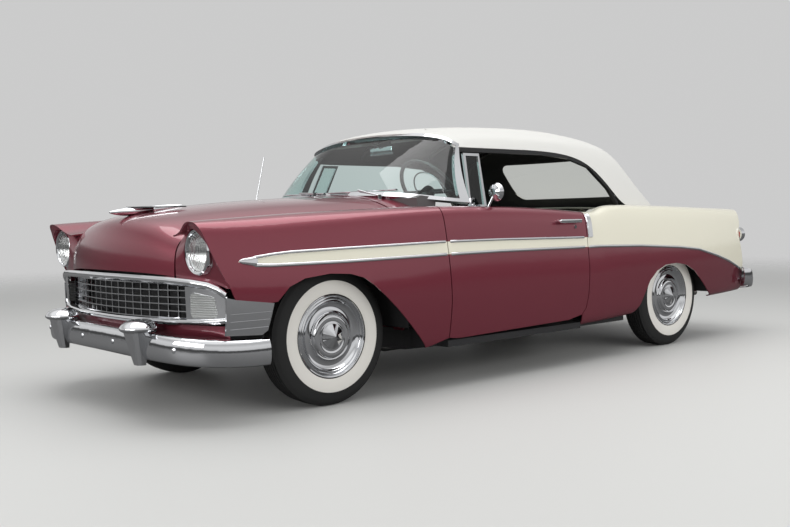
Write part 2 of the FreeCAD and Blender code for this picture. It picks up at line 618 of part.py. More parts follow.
# Windshield: glass wrapped round at both ends, held by a chrome frame
GLASS = 6.0
FRAME_OUT = 10.0
FRAME_IN = 16.0
FRAME_EDGE_SHARE = 0.06
GLASS_LOW_SHARES = ((0, 0.212, 1.098), (0.28, 0.213, 1.096), (0.50, 0.218, 1.088), (0.67, 0.232, 1.076),
                    (0.775, 0.256, 1.062), (0.825, 0.286, 1.050), (0.838, 0.312, 1.044))
GLASS_HIGH_SHARES = ((0, 0.317, 1.440), (0.24, 0.318, 1.437), (0.43, 0.322, 1.425), (0.58, 0.328, 1.407),
                     (0.665, 0.334, 1.388), (0.695, 0.340, 1.370), (0.698, 0.350, 1.360))
GLASS_LEVELS = (0.0, 0.35, 0.7, 1.0)
GLASS_BULGE_SHARE = 0.012


def glass_cage(low_share, high_share, side_share):
    """Rows from the cowl up to the header; the shares stretch the glass to make the frame's outline."""
    cage = []
    for level in GLASS_LEVELS:
        rise = low_share + (high_share - low_share) * level
        bulge = GLASS_BULGE_SHARE * 4 * level * (1 - level)
        half = []
        for low, high in zip(GLASS_LOW_SHARES, GLASS_HIGH_SHARES):
            place = [a + (b - a) * rise for a, b in zip(low, high)]
            half.append(at(place[0], place[1] - bulge, place[2]))
        tip = half[-1] + (half[-1] - half[-2]) * side_share
        half = half + [tip]
        cage.append([V(-p.x, p.y, p.z) for p in half[:0:-1]] + half)
    return cage


GLASS_CAGE = glass_cage(0.0, 1.0, 0.1)
FRAME_CAGE = glass_cage(-FRAME_EDGE_SHARE, 1.0 + FRAME_EDGE_SHARE, 1.0)
GLASS_SOLID = between(GLASS_CAGE, inset(GLASS_CAGE, GLASS))
GLASS_CUTTER = between(inset(GLASS_CAGE, -OVERRUN), inset(GLASS_CAGE, OVERRUN))
FRAME_SOLID = between(inset(FRAME_CAGE, -FRAME_OUT), inset(FRAME_CAGE, FRAME_IN)).cut(GLASS_CUTTER)
save("windshield_glass", GLASS_SOLID)
save("windshield_frame", FRAME_SOLID)

# Fabric top: middle (y, z), shoulder (x, y, z) and lower edge (x, y, z) of each row, front to back
TOP_SHARES = (
    (0.313, 1.462, 0.640, 0.337, 1.404, 0.707, 0.344, 1.352),
    (0.329, 1.484, 0.647, 0.349, 1.414, 0.713, 0.354, 1.354),
    (0.377, 1.508, 0.664, 0.387, 1.424, 0.721, 0.387, 1.352),
    (0.479, 1.526, 0.675, 0.479, 1.432, 0.728, 0.479, 1.352),
    (0.599, 1.538, 0.679, 0.599, 1.434, 0.732, 0.599, 1.352),
    (0.702, 1.538, 0.683, 0.695, 1.426, 0.736, 0.685, 1.333),
    (0.787, 1.522, 0.690, 0.763, 1.410, 0.763, 0.746, 1.277),
    (0.849, 1.497, 0.694, 0.815, 1.387, 0.811, 0.794, 1.138),
    (0.887, 1.472, 0.699, 0.849, 1.359, 0.845, 0.832, 1.000),
    (0.911, 1.436, 0.707, 0.876, 1.318, 0.843, 0.876, 0.985),
    (0.935, 1.344, 0.726, 0.904, 1.221, 0.832, 0.917, 0.985),
    (0.965, 1.210, 0.747, 0.935, 1.118, 0.813, 0.948, 0.984),
    (1.003, 1.097, 0.747, 0.969, 1.046, 0.784, 0.972, 0.983),
    (1.030, 1.026, 0.736, 0.993, 1.010, 0.752, 0.989, 0.982),
    (1.036, 0.996, 0.726, 1.000, 0.985, 0.736, 0.995, 0.980),
)
TOP_ACROSS_SHARES = ((0, 0), (0.20, 0.01), (0.42, 0.08), (0.64, 0.24), (0.84, 0.55))
TOP_SKIN = 9.0
WINDOW_HALF_SHARE = 0.53
WINDOW_LOW_SHARE = 1.07
WINDOW_HIGH_SHARE = 1.34
WINDOW_CORNER = 60.0
WINDOW_SKIN = 3.0


def top_rows():
    cage = []
    for y_mid, z_mid, x_s, y_s, z_s, x_e, y_e, z_e in TOP_SHARES:
        half = []
        for across, drop in TOP_ACROSS_SHARES:
            half.append(at(x_s * across, y_mid + (y_s - y_mid) * across ** 2, z_mid + (z_s - z_mid) * drop))
        for part in (0.0, 0.35, 0.7, 1.0):
            x = x_s + (x_e - x_s) * part ** 0.7
            half.append(at(x, y_s + (y_e - y_s) * part, z_s + (z_e - z_s) * part))
        cage.append([V(-p.x, p.y, p.z) for p in half[:0:-1]] + half)
    return cage


def rounded_window(half_x, low_z, high_z, y0, y1):
    frame = block(V(-half_x, y0, low_z), V(half_x, y1, high_z))
    edges = [e for e in frame.Edges if abs(e.Length - (y1 - y0)) < 1]
    return frame.makeFillet(WINDOW_CORNER, edges)


TOP_CAGE = top_rows()
TOP_SHELL = between(TOP_CAGE, inset(TOP_CAGE, TOP_SKIN))
WINDOW_HOLE = rounded_window(HALF_WIDTH * WINDOW_HALF_SHARE, BELT_HEIGHT * WINDOW_LOW_SHARE,
                             BELT_HEIGHT * WINDOW_HIGH_SHARE, at(0, 0.80, 0).y, at(0, 1.10, 0).y)
WINDOW_PANE = between(inset(TOP_CAGE, WINDOW_SKIN), inset(TOP_CAGE, WINDOW_SKIN + WINDOW_SKIN))
save("soft_top", TOP_SHELL.cut(WINDOW_HOLE))
save("rear_window", WINDOW_PANE.common(WINDOW_HOLE))

# Folding frame of the top: side rails under the fabric's edge and bows across the roof
TOP_RAIL_HALF_X = 13.0
TOP_RAIL_HALF_Z = 12.0
TOP_RAIL_DROP = 18.0
RAIL_ROWS = (1, 2, 3, 4, 5, 6, 7)
RAIL_INSET = 14.0
BOW_HALF = 12.0
BOW_THICK = 11.0
BOW_ROWS = (3, 5, 7)


def top_frame():
    rail = []
    for i in RAIL_ROWS:
        edge = TOP_CAGE[i][-1]
        rail.append(V(edge.x - RAIL_INSET, edge.y, edge.z - TOP_RAIL_DROP + TOP_RAIL_HALF_Z * 0.3))
    foot = TOP_CAGE[8][-1]
    rail.append(V(foot.x - RAIL_INSET * 2.5, foot.y - TOP_RAIL_DROP, foot.z + TOP_RAIL_HALF_Z))
    left = beam(rail, TOP_RAIL_HALF_X, TOP_RAIL_HALF_Z)
    pieces = [left, mirrored(left)]
    lining = between(inset(TOP_CAGE, TOP_SKIN + SEAT_CLEAR), inset(TOP_CAGE, TOP_SKIN + BOW_THICK))
    for i in BOW_ROWS:
        middle = TOP_CAGE[i][len(TOP_CAGE[i]) // 2]
        low = V(-HALF_WIDTH, middle.y - BOW_HALF, BELT_HEIGHT)
        slab = block(low, V(HALF_WIDTH, middle.y + BOW_HALF, middle.z + OVERRUN))
        pieces.append(lining.common(slab))
    return joined(pieces)


save("top_frame", top_frame())

# Vent windows on the doors: a chrome frame around a small pane, leaning in with the glass
VENT_SHARES = ((0.340, 0.996), (0.386, 0.995), (0.410, 1.318), (0.365, 1.318))
VENT_X_LOW_SHARE = 0.856
VENT_X_HIGH_SHARE = 0.722
VENT_BAR = 16.0
VENT_THICK = 14.0
VENT_PANE = 5.0


def vent_plate(outline, thickness, shift):
    points = []
    for y, z in outline:
        lean = (z - VENT_SHARES[0][1]) / (VENT_SHARES[2][1] - VENT_SHARES[0][1])
        points.append(at(VENT_X_LOW_SHARE + (VENT_X_HIGH_SHARE - VENT_X_LOW_SHARE) * lean, y, z))
    return polygon([p + V(shift, 0, 0) for p in points]).extrude(V(-thickness, 0, 0))


def shrunk(outline, y_length, z_length):
    y = y_length / WHEELBASE
    z = z_length / BELT_HEIGHT
    (y0, z0), (y1, z1), (y2, z2), (y3, z3) = outline
    return ((y0 + y, z0 + z), (y1 - y, z1 + z), (y2 - y, z2 - z), (y3 + y, z3 - z))


VENT_INNER = shrunk(VENT_SHARES, VENT_BAR, VENT_BAR)
VENT_OPENING = vent_plate(VENT_INNER, VENT_THICK * 4, VENT_THICK * 2)
VENT_FRAME = vent_plate(VENT_SHARES, VENT_THICK, 0).cut(VENT_OPENING)
VENT_FRAME = VENT_FRAME.cut(DOOR_LEFT)
VENT_GLASS = vent_plate(VENT_INNER, VENT_PANE, -VENT_PANE)
save("vent_frame_left", VENT_FRAME)
save("vent_frame_right", mirrored(VENT_FRAME))
save("vent_glass_left", VENT_GLASS)
save("vent_glass_right", mirrored(VENT_GLASS))

# Driver's mirror on the door, and the mast antenna on the right fender
MIRROR_FOOT = at(0.885, 0.372, 0.998)
MIRROR_HEAD = at(0.935, 0.388, 1.082)
MIRROR_RADIUS = 52.0
MIRROR_DEPTH = 34.0
MIRROR_ARM = 7.0
ANTENNA_FOOT = at(-0.745, 0.180, 1.0)
ANTENNA_TIP = at(-0.715, 0.205, 1.365)
ANTENNA_RADIUS = 3.0
ANTENNA_BASE = 16.0


MIRROR_SHARES = ((0, 0), (1, 0), (1, 0.15), (0.8, 0.7), (0.4, 1), (0, 1))


def mirror():
    face = V(0, 1, 0)
    profile = [(MIRROR_RADIUS * r, -MIRROR_DEPTH * back) for r, back in MIRROR_SHARES]
    head = turned(profile, MIRROR_HEAD, face)
    arm = rod(MIRROR_FOOT - V(0, 0, MIRROR_DEPTH), MIRROR_HEAD - V(0, MIRROR_DEPTH * 0.5, 0), MIRROR_ARM)
    return joined([head, arm])


save("door_mirror", mirror().cut(DOOR_LEFT))
ANTENNA_LOW = ANTENNA_FOOT - V(0, 0, ANTENNA_BASE)
MAST = joined([rod(ANTENNA_LOW, ANTENNA_TIP, ANTENNA_RADIUS),
               rod(ANTENNA_LOW, ANTENNA_FOOT + V(0, 0, ANTENNA_BASE * 1.5), ANTENNA_BASE)])
save("antenna", MAST.cut(mirrored(FENDER_LEFT)))

# Bands that follow a bow across the car: bumpers, grille bars and the panel below the grille


def section(low, high, depth, shares):
    """A band's section from shares of its depth and of its height."""
    return [(depth * inward, low + (high - low) * rise) for inward, rise in shares]


def band(plan_shares, section, front):
    """A plan line of (x, y, drop) shares and a section of (inward length, height), as a closed strip."""
    plan = [at(x, y, 0) for x, y, drop in plan_shares]
    normals = []
    for i, point in enumerate(plan):
        along = plan[min(i + 1, len(plan) - 1)] - plan[max(i - 1, 0)]
        if i == 0:
            along = V(1, 0, 0)
        normal = V(along.y, -along.x, 0) if front else V(-along.y, along.x, 0)
        normals.append(normal.normalize())
    rows = []
    for inward, height in section:
        left = []
        for place, normal, (x, y, drop) in zip(plan, normals, plan_shares):
            left.append(place - normal * inward + V(0, 0, height - BELT_HEIGHT * drop))
        rows.append([V(-p.x, p.y, p.z) for p in left[:0:-1]] + left)
    return rows


FRONT_PLAN_SHARES = ((0, -0.290, 0), (0.22, -0.291, 0), (0.45, -0.291, 0), (0.66, -0.287, 0.003),
                     (0.83, -0.272, 0.01), (0.94, -0.240, 0.018), (0.985, -0.200, 0.025),
                     (0.99, -0.170, 0.028), (0.985, -0.148, 0.03))
BUMPER_LOW = 291.0
BUMPER_HIGH = 420.0
BUMPER_SKIN = 5.0
BUMPER_DEPTH = 46.0
BUMPER_SHARES = ((0.74, 0.023), (0.22, -0.015), (0, 0.108), (-0.13, 0.35), (-0.09, 0.69), (0.09, 0.92),
                 (0.39, 1.0), (1.0, 0.97))
BUMPER_SECTION = section(BUMPER_LOW, BUMPER_HIGH, BUMPER_DEPTH, BUMPER_SHARES)


def strip(cage, depth):
    solid = between(cage, inset(cage, depth))
    return solid


FRONT_BUMPER = strip(band(FRONT_PLAN_SHARES, BUMPER_SECTION, True), BUMPER_SKIN)
GUARD_X = 450.0
CAP_RADIUS = 96.0
CAP_RISE = 40.0
CAP_Z = 439.0
# Domed cap of a guard: shares of its radius and of its rise
CAP_SHARES = ((0, 1), (0.36, 0.93), (0.70, 0.68), (0.92, 0.28), (1.0, -0.10), (0.92, -0.36), (0.66, -0.45))
# Leg under the cap: height, front, back and half width as shares of belt height, wheelbase and half width
LEG_SHARES = ((0.445, -0.3085, -0.284, 0.076), (0.36, -0.3025, -0.284, 0.058),
              (0.272, -0.2965, -0.284, 0.036))
LEG_CORNER = 16.0


def ellipse_wire(centre, half_x, half_y):
    major, minor = (half_x, half_y) if half_x >= half_y else (half_y, half_x)
    curve = Part.Ellipse(centre, major, minor)
    shape = curve.toShape()
    if half_y > half_x:
        shape.rotate(centre, V(0, 0, 1), 90)
    return Part.Wire([shape])


def guard(shares, x):
    wires = []
    for z, y, half_x, half_y in shares:
        centre = at(0, y, z) + V(x, 0, 0)
        wires.append(ellipse_wire(centre, HALF_WIDTH * half_x, HALF_WIDTH * half_y))
    return Part.makeLoft(wires, True)


def dome(centre, radius, rise):
    points = [centre + V(radius * r, 0, rise * h) for r, h in CAP_SHARES]
    curve = Part.BSplineCurve()
    curve.interpolate(points)
    foot = centre + V(0, 0, rise * CAP_SHARES[-1][1])
    edges = [curve.toShape(), Part.makeLine(points[-1], foot), Part.makeLine(foot, points[0])]
    return Part.Face(Part.Wire(edges)).revolve(centre, V(0, 0, 1), 360)


def leg(x):
    wires = []
    for z, front, back, half_share in LEG_SHARES:
        y0 = at(0, front, 0).y
        y1 = at(0, back, 0).y
        half = HALF_WIDTH * half_share
        corners = [(-half, y1), (-half, y0 + LEG_CORNER), (-half + LEG_CORNER, y0), (half - LEG_CORNER, y0),
                   (half, y0 + LEG_CORNER), (half, y1)]
        points = [V(x + dx, y, BELT_HEIGHT * z) for dx, y in corners]
        wires.append(Part.makePolygon(points + [points[0]]))
    return Part.makeLoft(wires, True, True)


CAP_CENTRE = V(GUARD_X, CAP_RADIUS - FRONT_OVERHANG + FRONT_AXLE_Y, CAP_Z)
GUARD_BACK_SHARE = -0.2725
GUARD_BACK = block(V(0, at(0, GUARD_BACK_SHARE, 0).y, CAP_Z - CAP_RADIUS), V(HALF_WIDTH, 0, BELT_HEIGHT))
FRONT_GUARD = leg(GUARD_X).fuse(dome(CAP_CENTRE, CAP_RADIUS, CAP_RISE)).cut(GUARD_BACK)
BRACKET_THICK = 9.0
BRACKET_HALF = 26.0
FRONT_BRACKET_SHARES = (-0.288, -0.2145)
REAR_BRACKET_SHARES = (1.225, 1.382)


def bumper_bracket(rail_x_share, y_shares, z):
    """A flat arm bolted along the outer side of a chassis rail."""
    x = HALF_WIDTH * rail_x_share + RAIL_HALF_X
    low = V(x, at(0, y_shares[0], 0).y, z - BRACKET_HALF)
    return block(low, V(x + BRACKET_THICK, at(0, y_shares[1], 0).y, z + BRACKET_HALF))


FRONT_ARM = bumper_bracket(RAIL_SHARES[1][0], FRONT_BRACKET_SHARES, BUMPER_LOW + OVERRUN)
FRONT_PIECES = [FRONT_BUMPER, FRONT_GUARD, mirrored(FRONT_GUARD), FRONT_ARM, mirrored(FRONT_ARM)]
save("front_bumper", joined(FRONT_PIECES))

REAR_PLAN_SHARES = ((0, 1.384, 0), (0.22, 1.384, 0), (0.45, 1.383, 0), (0.68, 1.379, 0), (0.85, 1.369, -0.01),
                    (0.95, 1.351, -0.025), (0.99, 1.323, -0.04), (0.99, 1.300, -0.05), (0.985, 1.285, -0.055))
REAR_BUMPER_LOW = 318.0
REAR_BUMPER_HIGH = 452.0
REAR_BUMPER_DEPTH = 34.0
REAR_SECTION = section(REAR_BUMPER_HIGH, REAR_BUMPER_LOW, REAR_BUMPER_DEPTH,
                       [(inward, 1 - rise) for inward, rise in reversed(BUMPER_SHARES)])
REAR_BUMPER = strip(band(REAR_PLAN_SHARES, REAR_SECTION, False), BUMPER_SKIN)
REAR_GUARD_X = 420.0
REAR_GUARD_SHARES = ((0.318, 1.383, 0.050, 0.028), (0.380, 1.384, 0.056, 0.036),
                     (0.450, 1.384, 0.064, 0.0425), (0.500, 1.384, 0.060, 0.038),
                     (0.520, 1.383, 0.036, 0.022))
REAR_GUARD = guard(REAR_GUARD_SHARES, REAR_GUARD_X)

# Bracket for a plate: a strap with two bolt holes on uprights that rise from the bumper's top edge
PLATE_SPACING = 178.0
PLATE_HOLE = 3.5
PLATE_Z = 560.0
PLATE_Y_SHARE = 1.374
STRAP_HALF_X = 115.0
STRAP_HALF_Z = 14.0
STRAP_THICK = 4.0
UPRIGHT_X = 50.0


def plate_bracket():
    y = at(0, PLATE_Y_SHARE, 0).y
    strap = block(V(-STRAP_HALF_X, y - STRAP_THICK, PLATE_Z - STRAP_HALF_Z),
                  V(STRAP_HALF_X, y, PLATE_Z + STRAP_HALF_Z))
    low = REAR_BUMPER_HIGH - STRAP_HALF_Z
    left = block(V(UPRIGHT_X, y - STRAP_THICK, low), V(UPRIGHT_X + STRAP_HALF_Z, y, PLATE_Z))
    bracket = joined([strap, left, mirrored(left)])
    for side in (-1, 1):
        middle = V(side * PLATE_SPACING / 2, y, PLATE_Z)
        bracket = bracket.cut(rod(middle - V(0, OVERRUN, 0), middle + V(0, OVERRUN, 0), PLATE_HOLE))
    return bracket


REAR_ARM = bumper_bracket(RAIL_SHARES[-1][0], REAR_BRACKET_SHARES, REAR_BUMPER_LOW + OVERRUN)
REAR_PIECES = [REAR_BUMPER, REAR_GUARD, mirrored(REAR_GUARD), REAR_ARM, mirrored(REAR_ARM), plate_bracket()]
save("rear_bumper", joined(REAR_PIECES))

# Grille: an egg-crate of thin bars on a bow, in a chrome surround with wings to the wheel arches
GRILLE_Y = at(0, -0.274, 0).y
GRILLE_RADIUS = 2020.0
GRILLE_HALF = 660.0
GRILLE_LOW = 478.0
GRILLE_HIGH = 643.0
GRILLE_DEPTH = 16.0
GRILLE_BAR = 5.0
GRILLE_ROWS = 6
GRILLE_COLUMNS = 21


def ring(radius, depth, low, high):
    centre = V(0, GRILLE_Y + radius, low)
    outer = Part.makeCylinder(radius, high - low, centre)
    inner = Part.makeCylinder(radius - depth, high - low, centre)
    return outer.cut(inner)


def grille():
    window = block(V(-GRILLE_HALF, GRILLE_Y - OVERRUN, GRILLE_LOW),
                   V(GRILLE_HALF, GRILLE_Y + OVERRUN * 5, GRILLE_HIGH))
    bars = []
    pitch = (GRILLE_HIGH - GRILLE_LOW - GRILLE_BAR) / (GRILLE_ROWS - 1)
    for i in range(GRILLE_ROWS):
        low = GRILLE_LOW + pitch * i
        bars.append(ring(GRILLE_RADIUS, GRILLE_DEPTH, low, low + GRILLE_BAR).common(window))
    centre = V(0, GRILLE_Y + GRILLE_RADIUS, 0)
    turn = math.degrees(math.asin(GRILLE_HALF / GRILLE_RADIUS)) * 0.985
    for i in range(GRILLE_COLUMNS):
        upright = block(V(-GRILLE_BAR / 2, GRILLE_Y + GRILLE_BAR * 0.5, GRILLE_LOW),
                        V(GRILLE_BAR / 2, GRILLE_Y + GRILLE_DEPTH - GRILLE_BAR * 0.5, GRILLE_HIGH))
        upright.rotate(centre, V(0, 0, 1), turn * (2 * i / (GRILLE_COLUMNS - 1) - 1))
        bars.append(upright)
    return bars[0].multiFuse(bars[1:])


save("grille", grille())

SURROUND_PLAN_SHARES = ((0, -0.2765, 0), (0.20, -0.275, 0), (0.40, -0.2695, 0.002), (0.60, -0.259, 0.006),
                        (0.76, -0.247, 0.014), (0.87, -0.2355, 0.027), (0.93, -0.2265, 0.048),
                        (0.955, -0.219, 0.075))
BAR_DEPTH = 27.0
TOP_BAR_HEIGHT = 37.0
TOP_BAR_SHARES = ((1, 0.02), (0.14, 0), (-0.21, 0.26), (-0.21, 0.64), (0.07, 0.93), (1, 1))
TOP_BAR_LOW = GRILLE_HIGH + SEAT_CLEAR
TOP_BAR_SECTION = section(TOP_BAR_LOW, TOP_BAR_LOW + TOP_BAR_HEIGHT, BAR_DEPTH, TOP_BAR_SHARES)
LOW_PLAN_SHARES = ((0, -0.276, 0), (0.20, -0.2745, 0), (0.40, -0.269, 0), (0.60, -0.258, -0.002),
                   (0.76, -0.245, -0.008), (0.86, -0.234, -0.012), (0.92, -0.226, -0.016), (0.95, -0.220, -0.02))
LOW_BAR_HEIGHT = 28.0
LOW_BAR_GAP = 2.0
LOW_BAR_SHARES = ((1, 0), (0.08, 0.07), (-0.23, 0.57), (0, 0.93), (0.9, 1))
LOW_BAR_SECTION = section(GRILLE_LOW - LOW_BAR_GAP - LOW_BAR_HEIGHT, GRILLE_LOW - LOW_BAR_GAP, BAR_DEPTH,
                          LOW_BAR_SHARES)
WING_SHARES = ((-0.222, 0.600), (-0.205, 0.587), (-0.140, 0.560), (-0.150, 0.435), (-0.160, 0.415),
               (-0.222, 0.425))
WING_SKIN = 9.0
WING_STAND = 3.0
WING_GROOVES_SHARES = (0.452, 0.487, 0.522)
WING_GROOVE_ENDS_SHARES = (-0.215, -0.10)
WING_GROOVE = 5.0
CARRIER_X = 280.0
CARRIER_DROP = 16.0
RADIATOR_SHARES = (-0.212, -0.190)
LAMP_PLATE_IN = 14.0
LAMP_PLATE_LAP = 12.0
LAMP_PLATE_X = GRILLE_HALF + PANEL_GAP
# Clear lens of a parking lamp: its corners as shares of half width and belt height
LAMP_LENS_SHARES = ((0.745, 0.500), (0.905, 0.506), (0.892, 0.602), (0.750, 0.622))
LAMP_LENS_CORNER = 20.0
LAMP_LENS_PROUD = 5.0
LAMP_LENS_DEPTH = 40.0


def lens_prism(grow):
    """A prism through the lamp plate over the lens outline, grown all round."""
    middle_x = sum(x for x, z in LAMP_LENS_SHARES) / len(LAMP_LENS_SHARES)
    middle_z = sum(z for x, z in LAMP_LENS_SHARES) / len(LAMP_LENS_SHARES)
    y0, y1 = NOSE_REACH_SHARES
    points = []
    for x, z in LAMP_LENS_SHARES:
        shift = V(math.copysign(grow, x - middle_x), 0, math.copysign(grow, z - middle_z))
        points.append(at(x, y0, z) + shift)
    prism = polygon(points).extrude(V(0, WHEELBASE * (y1 - y0), 0))
    edges = [e for e in prism.Edges if abs(e.tangentAt(e.FirstParameter).y) > 0.9]
    return prism.makeFillet(LAMP_LENS_CORNER, edges)


def lamp_plate_cage():
    """Rows from the low bar up to the top bar, across the whole front."""
    low = band(LOW_PLAN_SHARES, ((LAMP_PLATE_IN, GRILLE_LOW - LAMP_PLATE_LAP),), True)[0]
    high = band(SURROUND_PLAN_SHARES, ((LAMP_PLATE_IN, GRILLE_HIGH + LAMP_PLATE_LAP),), True)[0]
    return [[a + (b - a) * share for a, b in zip(low, high)] for share in (0, 1 / 3, 2 / 3, 1)]


LAMP_PLATE_CAGE = lamp_plate_cage()
LAMP_SIDE = block(V(LAMP_PLATE_X, BODY_LENGTH * -1, 0), V(HALF_WIDTH, 0, BELT_HEIGHT))


def wing():
    plate = between(inset(SIDE_CAGE, -WING_STAND), inset(SIDE_CAGE, WING_SKIN - WING_STAND))
    shape = plate.common(side_prism(WING_SHARES, LAMP_PLATE_X, OUTER_X)).cut(FENDER_LEFT)
    groove = between(inset(SIDE_CAGE, -WING_STAND - OVERRUN), inset(SIDE_CAGE, 0))
    for z_share in WING_GROOVES_SHARES:
        front, rear = WING_GROOVE_ENDS_SHARES
        high = z_share + WING_GROOVE / BELT_HEIGHT
        outline = ((front, z_share), (rear, z_share), (rear, high), (front, high))
        slot = side_prism(outline, LAMP_PLATE_X, OUTER_X)
        shape = shape.cut(slot.common(groove))
    return shape


def grille_surround():
    top = strip(band(SURROUND_PLAN_SHARES, TOP_BAR_SECTION, True), BUMPER_SKIN)
    low = strip(band(LOW_PLAN_SHARES, LOW_BAR_SECTION, True), BUMPER_SKIN)
    plate = strip(LAMP_PLATE_CAGE, BUMPER_SKIN).common(LAMP_SIDE).cut(lens_prism(SEAT_CLEAR))
    side = wing()
    shape = top.fuse(plate).fuse(mirrored(plate)).fuse(low).fuse(side).fuse(mirrored(side))
    for z in (GRILLE_HIGH + CARRIER_DROP, GRILLE_LOW - CARRIER_DROP):
        arm = block(V(CARRIER_X, GRILLE_Y - BRACKET_THICK, z - BRACKET_THICK),
                    V(CARRIER_X + BRACKET_THICK, at(0, RADIATOR_SHARES[0], 0).y, z + BRACKET_THICK))
        shape = shape.fuse(arm).fuse(mirrored(arm))
    return shape


save("grille_surround", grille_surround())

# Parking lamps: clear lenses that stand a little proud of the plates at the grille's ends
LENS_SPACE = between(inset(LAMP_PLATE_CAGE, -LAMP_LENS_PROUD), inset(LAMP_PLATE_CAGE, LAMP_LENS_DEPTH))
PARKING = lens_prism(0).common(LENS_SPACE)
save("parking_lamps", Part.makeCompound([PARKING, mirrored(PARKING)]))

# Valance: the painted panel under the low bar, hung from the grille's carriers
VALANCE_SET_BACK_SHARE = 0.0105
VALANCE_PLAN_SHARES = tuple((x * 0.975, y + VALANCE_SET_BACK_SHARE, 0) for x, y, drop in LOW_PLAN_SHARES)
VALANCE_LOW = 384.0
VALANCE_HIGH = GRILLE_LOW - CARRIER_DROP - BRACKET_THICK - SEAT_CLEAR
VALANCE_DEPTH = 34.0
VALANCE_SHARES = ((1, 0), (0.35, 0.03), (0, 0.23), (0, 0.7), (0, 1))
VALANCE_SECTION = section(VALANCE_LOW, VALANCE_HIGH, VALANCE_DEPTH, VALANCE_SHARES)
save("front_valance", strip(band(VALANCE_PLAN_SHARES, VALANCE_SECTION, True), BUMPER_SKIN))

# Headlamps: chrome rim and domed lens set in each fender's nose
LAMP_CENTRE = at(LAMP_X_SHARE, LAMP_Y_SHARE, LAMP_Z_SHARE)
LAMP_AXIS = V(0, -1, 0)
LENS_DOME = 22.0
LENS_EDGE = 2.0
RIM_DEPTH = 46.0
RIM_BEVEL = 6.0
RIM_PROUD = 8.0


def headlamp_rim():
    inner = LAMP_RADIUS
    outer = LAMP_RADIUS + LAMP_RIM - SEAT_CLEAR
    profile = ((inner, -RIM_DEPTH), (outer, -RIM_DEPTH), (outer, 0), (outer - RIM_BEVEL, RIM_PROUD),
               (inner + RIM_BEVEL / 2, RIM_PROUD * 0.75), (inner, 0))
    return turned(profile, LAMP_CENTRE, LAMP_AXIS)


def headlamp_lens():
    r = LAMP_RADIUS - SEAT_CLEAR
    profile = ((0, -RIM_DEPTH), (r, -RIM_DEPTH), (r, -LENS_EDGE), (r * 0.8, LENS_DOME * 0.42),
               (r * 0.5, LENS_DOME * 0.78), (0, LENS_DOME))
    return turned(profile, LAMP_CENTRE, LAMP_AXIS)


RIM = headlamp_rim()
LENS = headlamp_lens()
save("headlamp_rims", Part.makeCompound([RIM, mirrored(RIM)]))
save("headlamp_lenses", Part.makeCompound([LENS, mirrored(LENS)]))

# Tail lamps at the fins' ends
TAIL_LAMP = at(0.885, 1.296, 0.765)
TAIL_LAMP_RADIUS = 44.0
TAIL_RIM = 12.0
TAIL_RIM_LENGTH = 62.0
TAIL_RIM_EDGE = 2.0
TAIL_LENS_LENGTH = 76.0


def tail_lamps():
    axis = V(0, 1, 0)
    inner = TAIL_LAMP_RADIUS
    outer = TAIL_LAMP_RADIUS + TAIL_RIM
    r = TAIL_LAMP_RADIUS - SEAT_CLEAR
    rim = turned(((inner, 0), (outer, 0), (outer, TAIL_RIM_LENGTH * 0.8),
                  (inner + TAIL_RIM_EDGE, TAIL_RIM_LENGTH), (inner, TAIL_RIM_LENGTH - TAIL_RIM_EDGE)),
                 TAIL_LAMP, axis)
    lens = turned(((0, 0), (r, 0), (r, TAIL_LENS_LENGTH * 0.74), (r * 0.7, TAIL_LENS_LENGTH * 0.92),
                   (0, TAIL_LENS_LENGTH)), TAIL_LAMP, axis)
    return rim.cut(QUARTER_LEFT), lens.cut(QUARTER_LEFT)


TAIL_RIM_SOLID, TAIL_LENS_SOLID = tail_lamps()
save("tail_lamp_rims", Part.makeCompound([TAIL_RIM_SOLID, mirrored(TAIL_RIM_SOLID)]))
save("tail_lamp_lenses", Part.makeCompound([TAIL_LENS_SOLID, mirrored(TAIL_LENS_SOLID)]))

# Hood ornament: a small winged dart along the hood's middle
ORNAMENT_SHARES = ((-0.262, 1.003, 0.004, 0.004), (-0.245, 1.004, 0.026, 0.018), (-0.21, 1.010, 0.034, 0.024),
                   (-0.17, 1.020, 0.026, 0.022), (-0.125, 1.032, 0.006, 0.010))
ORNAMENT_WING_SHARES = ((0.0, -0.232), (0.19, -0.166), (0.19, -0.148), (0.0, -0.190))
ORNAMENT_WING = 7.0


def ornament():
    wires = []
    for y, z, half_x, half_z in ORNAMENT_SHARES:
        centre = at(0, y, z)
        wire = ellipse_wire(centre, HALF_WIDTH * half_x, HALF_WIDTH * half_z)
        wire.rotate(centre, V(1, 0, 0), 90)
        wires.append(wire)
    body = Part.makeLoft(wires, True)
    wing = polygon([at(x, y, 1.024) for x, y in ORNAMENT_WING_SHARES]).extrude(V(0, 0, ORNAMENT_WING))
    seat = between(inset(HOOD_CAGE, -SEAT_CLEAR), inset(HOOD_CAGE, OVERRUN))
    return joined([body, wing, mirrored(wing)]).cut(seat)


save("hood_ornament", ornament())

# Cabin: dashboard, steering column and wheel, seats
DASH_HALF_SHARE = 0.78
DASH_SHARES = ((0.2235, 1.055), (0.235, 1.068), (0.262, 1.060), (0.272, 1.035), (0.268, 0.93), (0.258, 0.86),
               (0.232, 0.86))


def dashboard():
    half = HALF_WIDTH * DASH_HALF_SHARE
    return polygon([at(0, y, z) - V(half, 0, 0) for y, z in DASH_SHARES]).extrude(V(half + half, 0, 0))


STEER_X_SHARE = 0.395
COLUMN_FOOT = at(STEER_X_SHARE, 0.2725, 0.905)
WHEEL_CENTRE = at(STEER_X_SHARE, 0.372, 1.105)
COLUMN_RADIUS = 24.0
STEER_RADIUS = 212.0
STEER_RIM = 12.0
STEER_HUB = 40.0
STEER_HUB_DEPTH = 46.0
COLUMN_AXIS = WHEEL_CENTRE - COLUMN_FOOT
COLUMN_AXIS.normalize()


